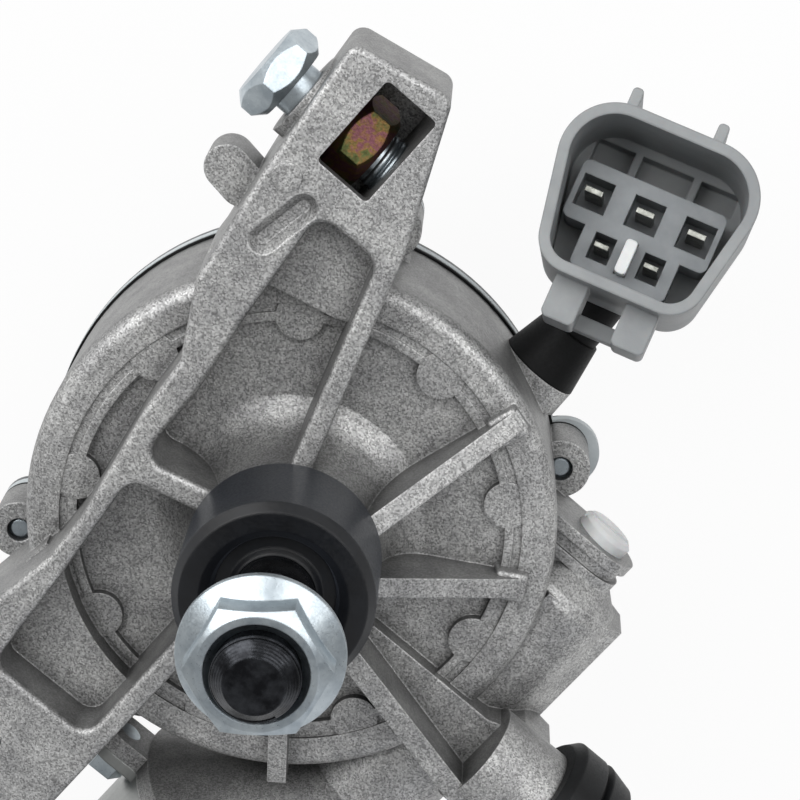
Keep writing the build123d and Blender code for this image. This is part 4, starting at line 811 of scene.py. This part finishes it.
upright = add_node(
    thread_tree, "GeometryNodeSetCurveNormal", {"mode": "Z_UP"}, {"Curve": helix.outputs["Curve"]}
)
diamond = add_node(thread_tree, "GeometryNodeCurvePrimitiveCircle", {"Resolution": 4, "Radius": 1.0})
half_width = add_node(
    thread_tree,
    "ShaderNodeMath",
    {"operation": "MULTIPLY", 1: ridge_share},
    {0: given.outputs["Pitch"]},
)
profile_size = add_node(
    thread_tree,
    "ShaderNodeCombineXYZ",
    {"Z": 1.0},
    {"X": given.outputs["Depth"], "Y": half_width.outputs[0]},
)
profile = add_node(
    thread_tree,
    "GeometryNodeTransform",
    None,
    {"Geometry": diamond.outputs["Curve"], "Scale": profile_size.outputs["Vector"]},
)
ridge = add_node(
    thread_tree,
    "GeometryNodeCurveToMesh",
    {"Fill Caps": True},
    {"Curve": upright.outputs["Curve"], "Profile Curve": profile.outputs["Geometry"]},
)
placed = add_node(
    thread_tree,
    "GeometryNodeTransform",
    None,
    {
        "Geometry": ridge.outputs["Mesh"],
        "Translation": given.outputs["Start"],
        "Rotation": given.outputs["Tilt"],
    },
)
real = add_node(
    thread_tree, "GeometryNodeRealizeInstances", None, {"Geometry": placed.outputs["Geometry"]}
)
coated = add_node(
    thread_tree,
    "GeometryNodeSetMaterial",
    None,
    {"Geometry": real.outputs["Geometry"], "Material": given.outputs["Finish"]},
)
add_node(thread_tree, "NodeGroupOutput", None, {"Geometry": coated.outputs["Geometry"]})
print("thread inputs:", [s.name for s in sockets.items_tree if s.in_out == "INPUT"])


# %% [markdown]
# A modifier holds the tree while it is evaluated. Its inputs are set by their identifiers, then the result
# is copied to a plain mesh and the modifier is gone, so what is left is an ordinary piece that the export
# can read. Points closer than a ten-thousandth of a millimetre are welded, which closes the mesh.


# %% Bake a tree to a piece
def baked(name, tree, body, slot, **inputs):
    """Makes a plain mesh piece from a Geometry Nodes tree, riding on a body."""
    holder = bpy.data.objects.new(name + "_holder", bpy.data.meshes.new(name + "_holder"))
    scene.collection.objects.link(holder)
    modifier = holder.modifiers.new("tree", "NODES")
    modifier.node_group = tree
    for socket in tree.interface.items_tree:
        if socket.in_out == "INPUT" and socket.name in inputs:
            modifier[socket.identifier] = inputs[socket.name]
    graph = bpy.context.evaluated_depsgraph_get()
    mesh = bpy.data.meshes.new_from_object(holder.evaluated_get(graph))
    bpy.data.objects.remove(holder)
    shape = bmesh.new()
    shape.from_mesh(mesh)
    bmesh.ops.remove_doubles(shape, verts=shape.verts, dist=0.0001 * MM)
    bmesh.ops.recalc_face_normals(shape, faces=shape.faces)
    shape.to_mesh(mesh)
    shape.free()
    piece = bpy.data.objects.new(name, mesh)
    scene.collection.objects.link(piece)
    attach(piece, body)
    print(name, "faces:", len(mesh.polygons))


# %% [markdown]
# The end of the output shaft carries an M12 thread with a pitch of 1.25 mm. Only the turns above the flange
# nut show, so only those are made. They ride on the output body, because they turn with the shaft.

# %% Thread at the shaft's end
shaft_radius = 6.0
shaft_pitch = 1.25 * MM
shaft_chamfer = 1.5 * MM
run_out = 0.9  # turns left free below the chamfer, for the ridge's own width
nut_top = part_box("flange_nut")[1][2]
thread_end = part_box("output_shaft")[1][2] - shaft_chamfer
baked(
    "shaft_thread",
    thread_tree,
    "output",
    "shaft_steel",
    Radius=shaft_radius * MM,
    Pitch=shaft_pitch,
    Turns=(thread_end - nut_top) / shaft_pitch - run_out,
    Depth=0.30 * MM,
    Start=(0.0, 0.0, nut_top + 0.5 * shaft_pitch),
    Tilt=(0.0, 0.0, 0.0),
    Finish=black_steel,
)

# %% [markdown]
# The arm bolts are M8 with a pitch of 1.25 mm and lie along the frame's X axis, so their threads are tilted
# by a quarter turn. They show in the arm windows, between the nut and the far wall.

# %% Threads on the arm bolts
bolt_radius = 4.0
bolt_pitch = 1.25 * MM
bolt_height = 36.0 * MM
shown_turns = 2.6
quarter_turn = math.radians(90)
bolts = (("upper_bolt_thread", -29.0, 53.4), ("lower_bolt_thread", -14.8, -56.9))
for name, nut_face, bolt_line in bolts:
    baked(
        name,
        thread_tree,
        "housing",
        "zinc_steel",
        Radius=bolt_radius * MM,
        Pitch=bolt_pitch,
        Turns=shown_turns,
        Depth=0.25 * MM,
        Start=(nut_face * MM + 0.5 * bolt_pitch, bolt_line * MM, bolt_height),
        Tilt=(0.0, quarter_turn, 0.0),
        Finish=zinc,
    )

# %% [markdown]
# Where two ribs of the deck run out, the casting has small raised blocks, on which the pins push it out of
# the die. They are boxes with a draft and rounded edges, made in mesh code, because a pair of plain boxes
# needs no tree. Each is sunk into the deck and its rib so that no gap shows.

# %% Blocks at the ends of the deck ribs
block_length, block_width = 5.8 * MM, 5.6 * MM
block_low, block_high = 32.0 * MM, 35.6 * MM
block_draft = 0.82  # the top's size as a share of the foot's
block_round = 0.5 * MM
block_places = ((14.0, 35.0, 73.4), (31.6, 15.9, 31.4))  # x and y in mm, then the rib's angle in degrees
blocks = bmesh.new()
for x, y, rib_angle in block_places:
    made = bmesh.ops.create_cube(blocks, size=1.0)["verts"]
    for vertex in made:
        taper = block_draft if vertex.co.z > 0 else 1.0
        level = block_high if vertex.co.z > 0 else block_low
        vertex.co = (vertex.co.x * block_length * taper, vertex.co.y * block_width * taper, level)
    along_rib = Matrix.Rotation(math.radians(rib_angle), 4, "Z")
    seat = Matrix.Translation((x * MM, y * MM, 0.0)) @ along_rib
    bmesh.ops.transform(blocks, matrix=seat, verts=made)
bmesh.ops.bevel(
    blocks, geom=list(blocks.edges), offset=block_round, segments=3, profile=0.5, affect="EDGES"
)
bmesh.ops.recalc_face_normals(blocks, faces=blocks.faces)
block_mesh = bpy.data.meshes.new("deck_rib_ends")
blocks.to_mesh(block_mesh)
blocks.free()
block_mesh.materials.append(cast_aluminium)
rib_ends = bpy.data.objects.new("deck_rib_ends", block_mesh)
scene.collection.objects.link(rib_ends)
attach(rib_ends, "housing")
print("rib end faces:", len(block_mesh.polygons))
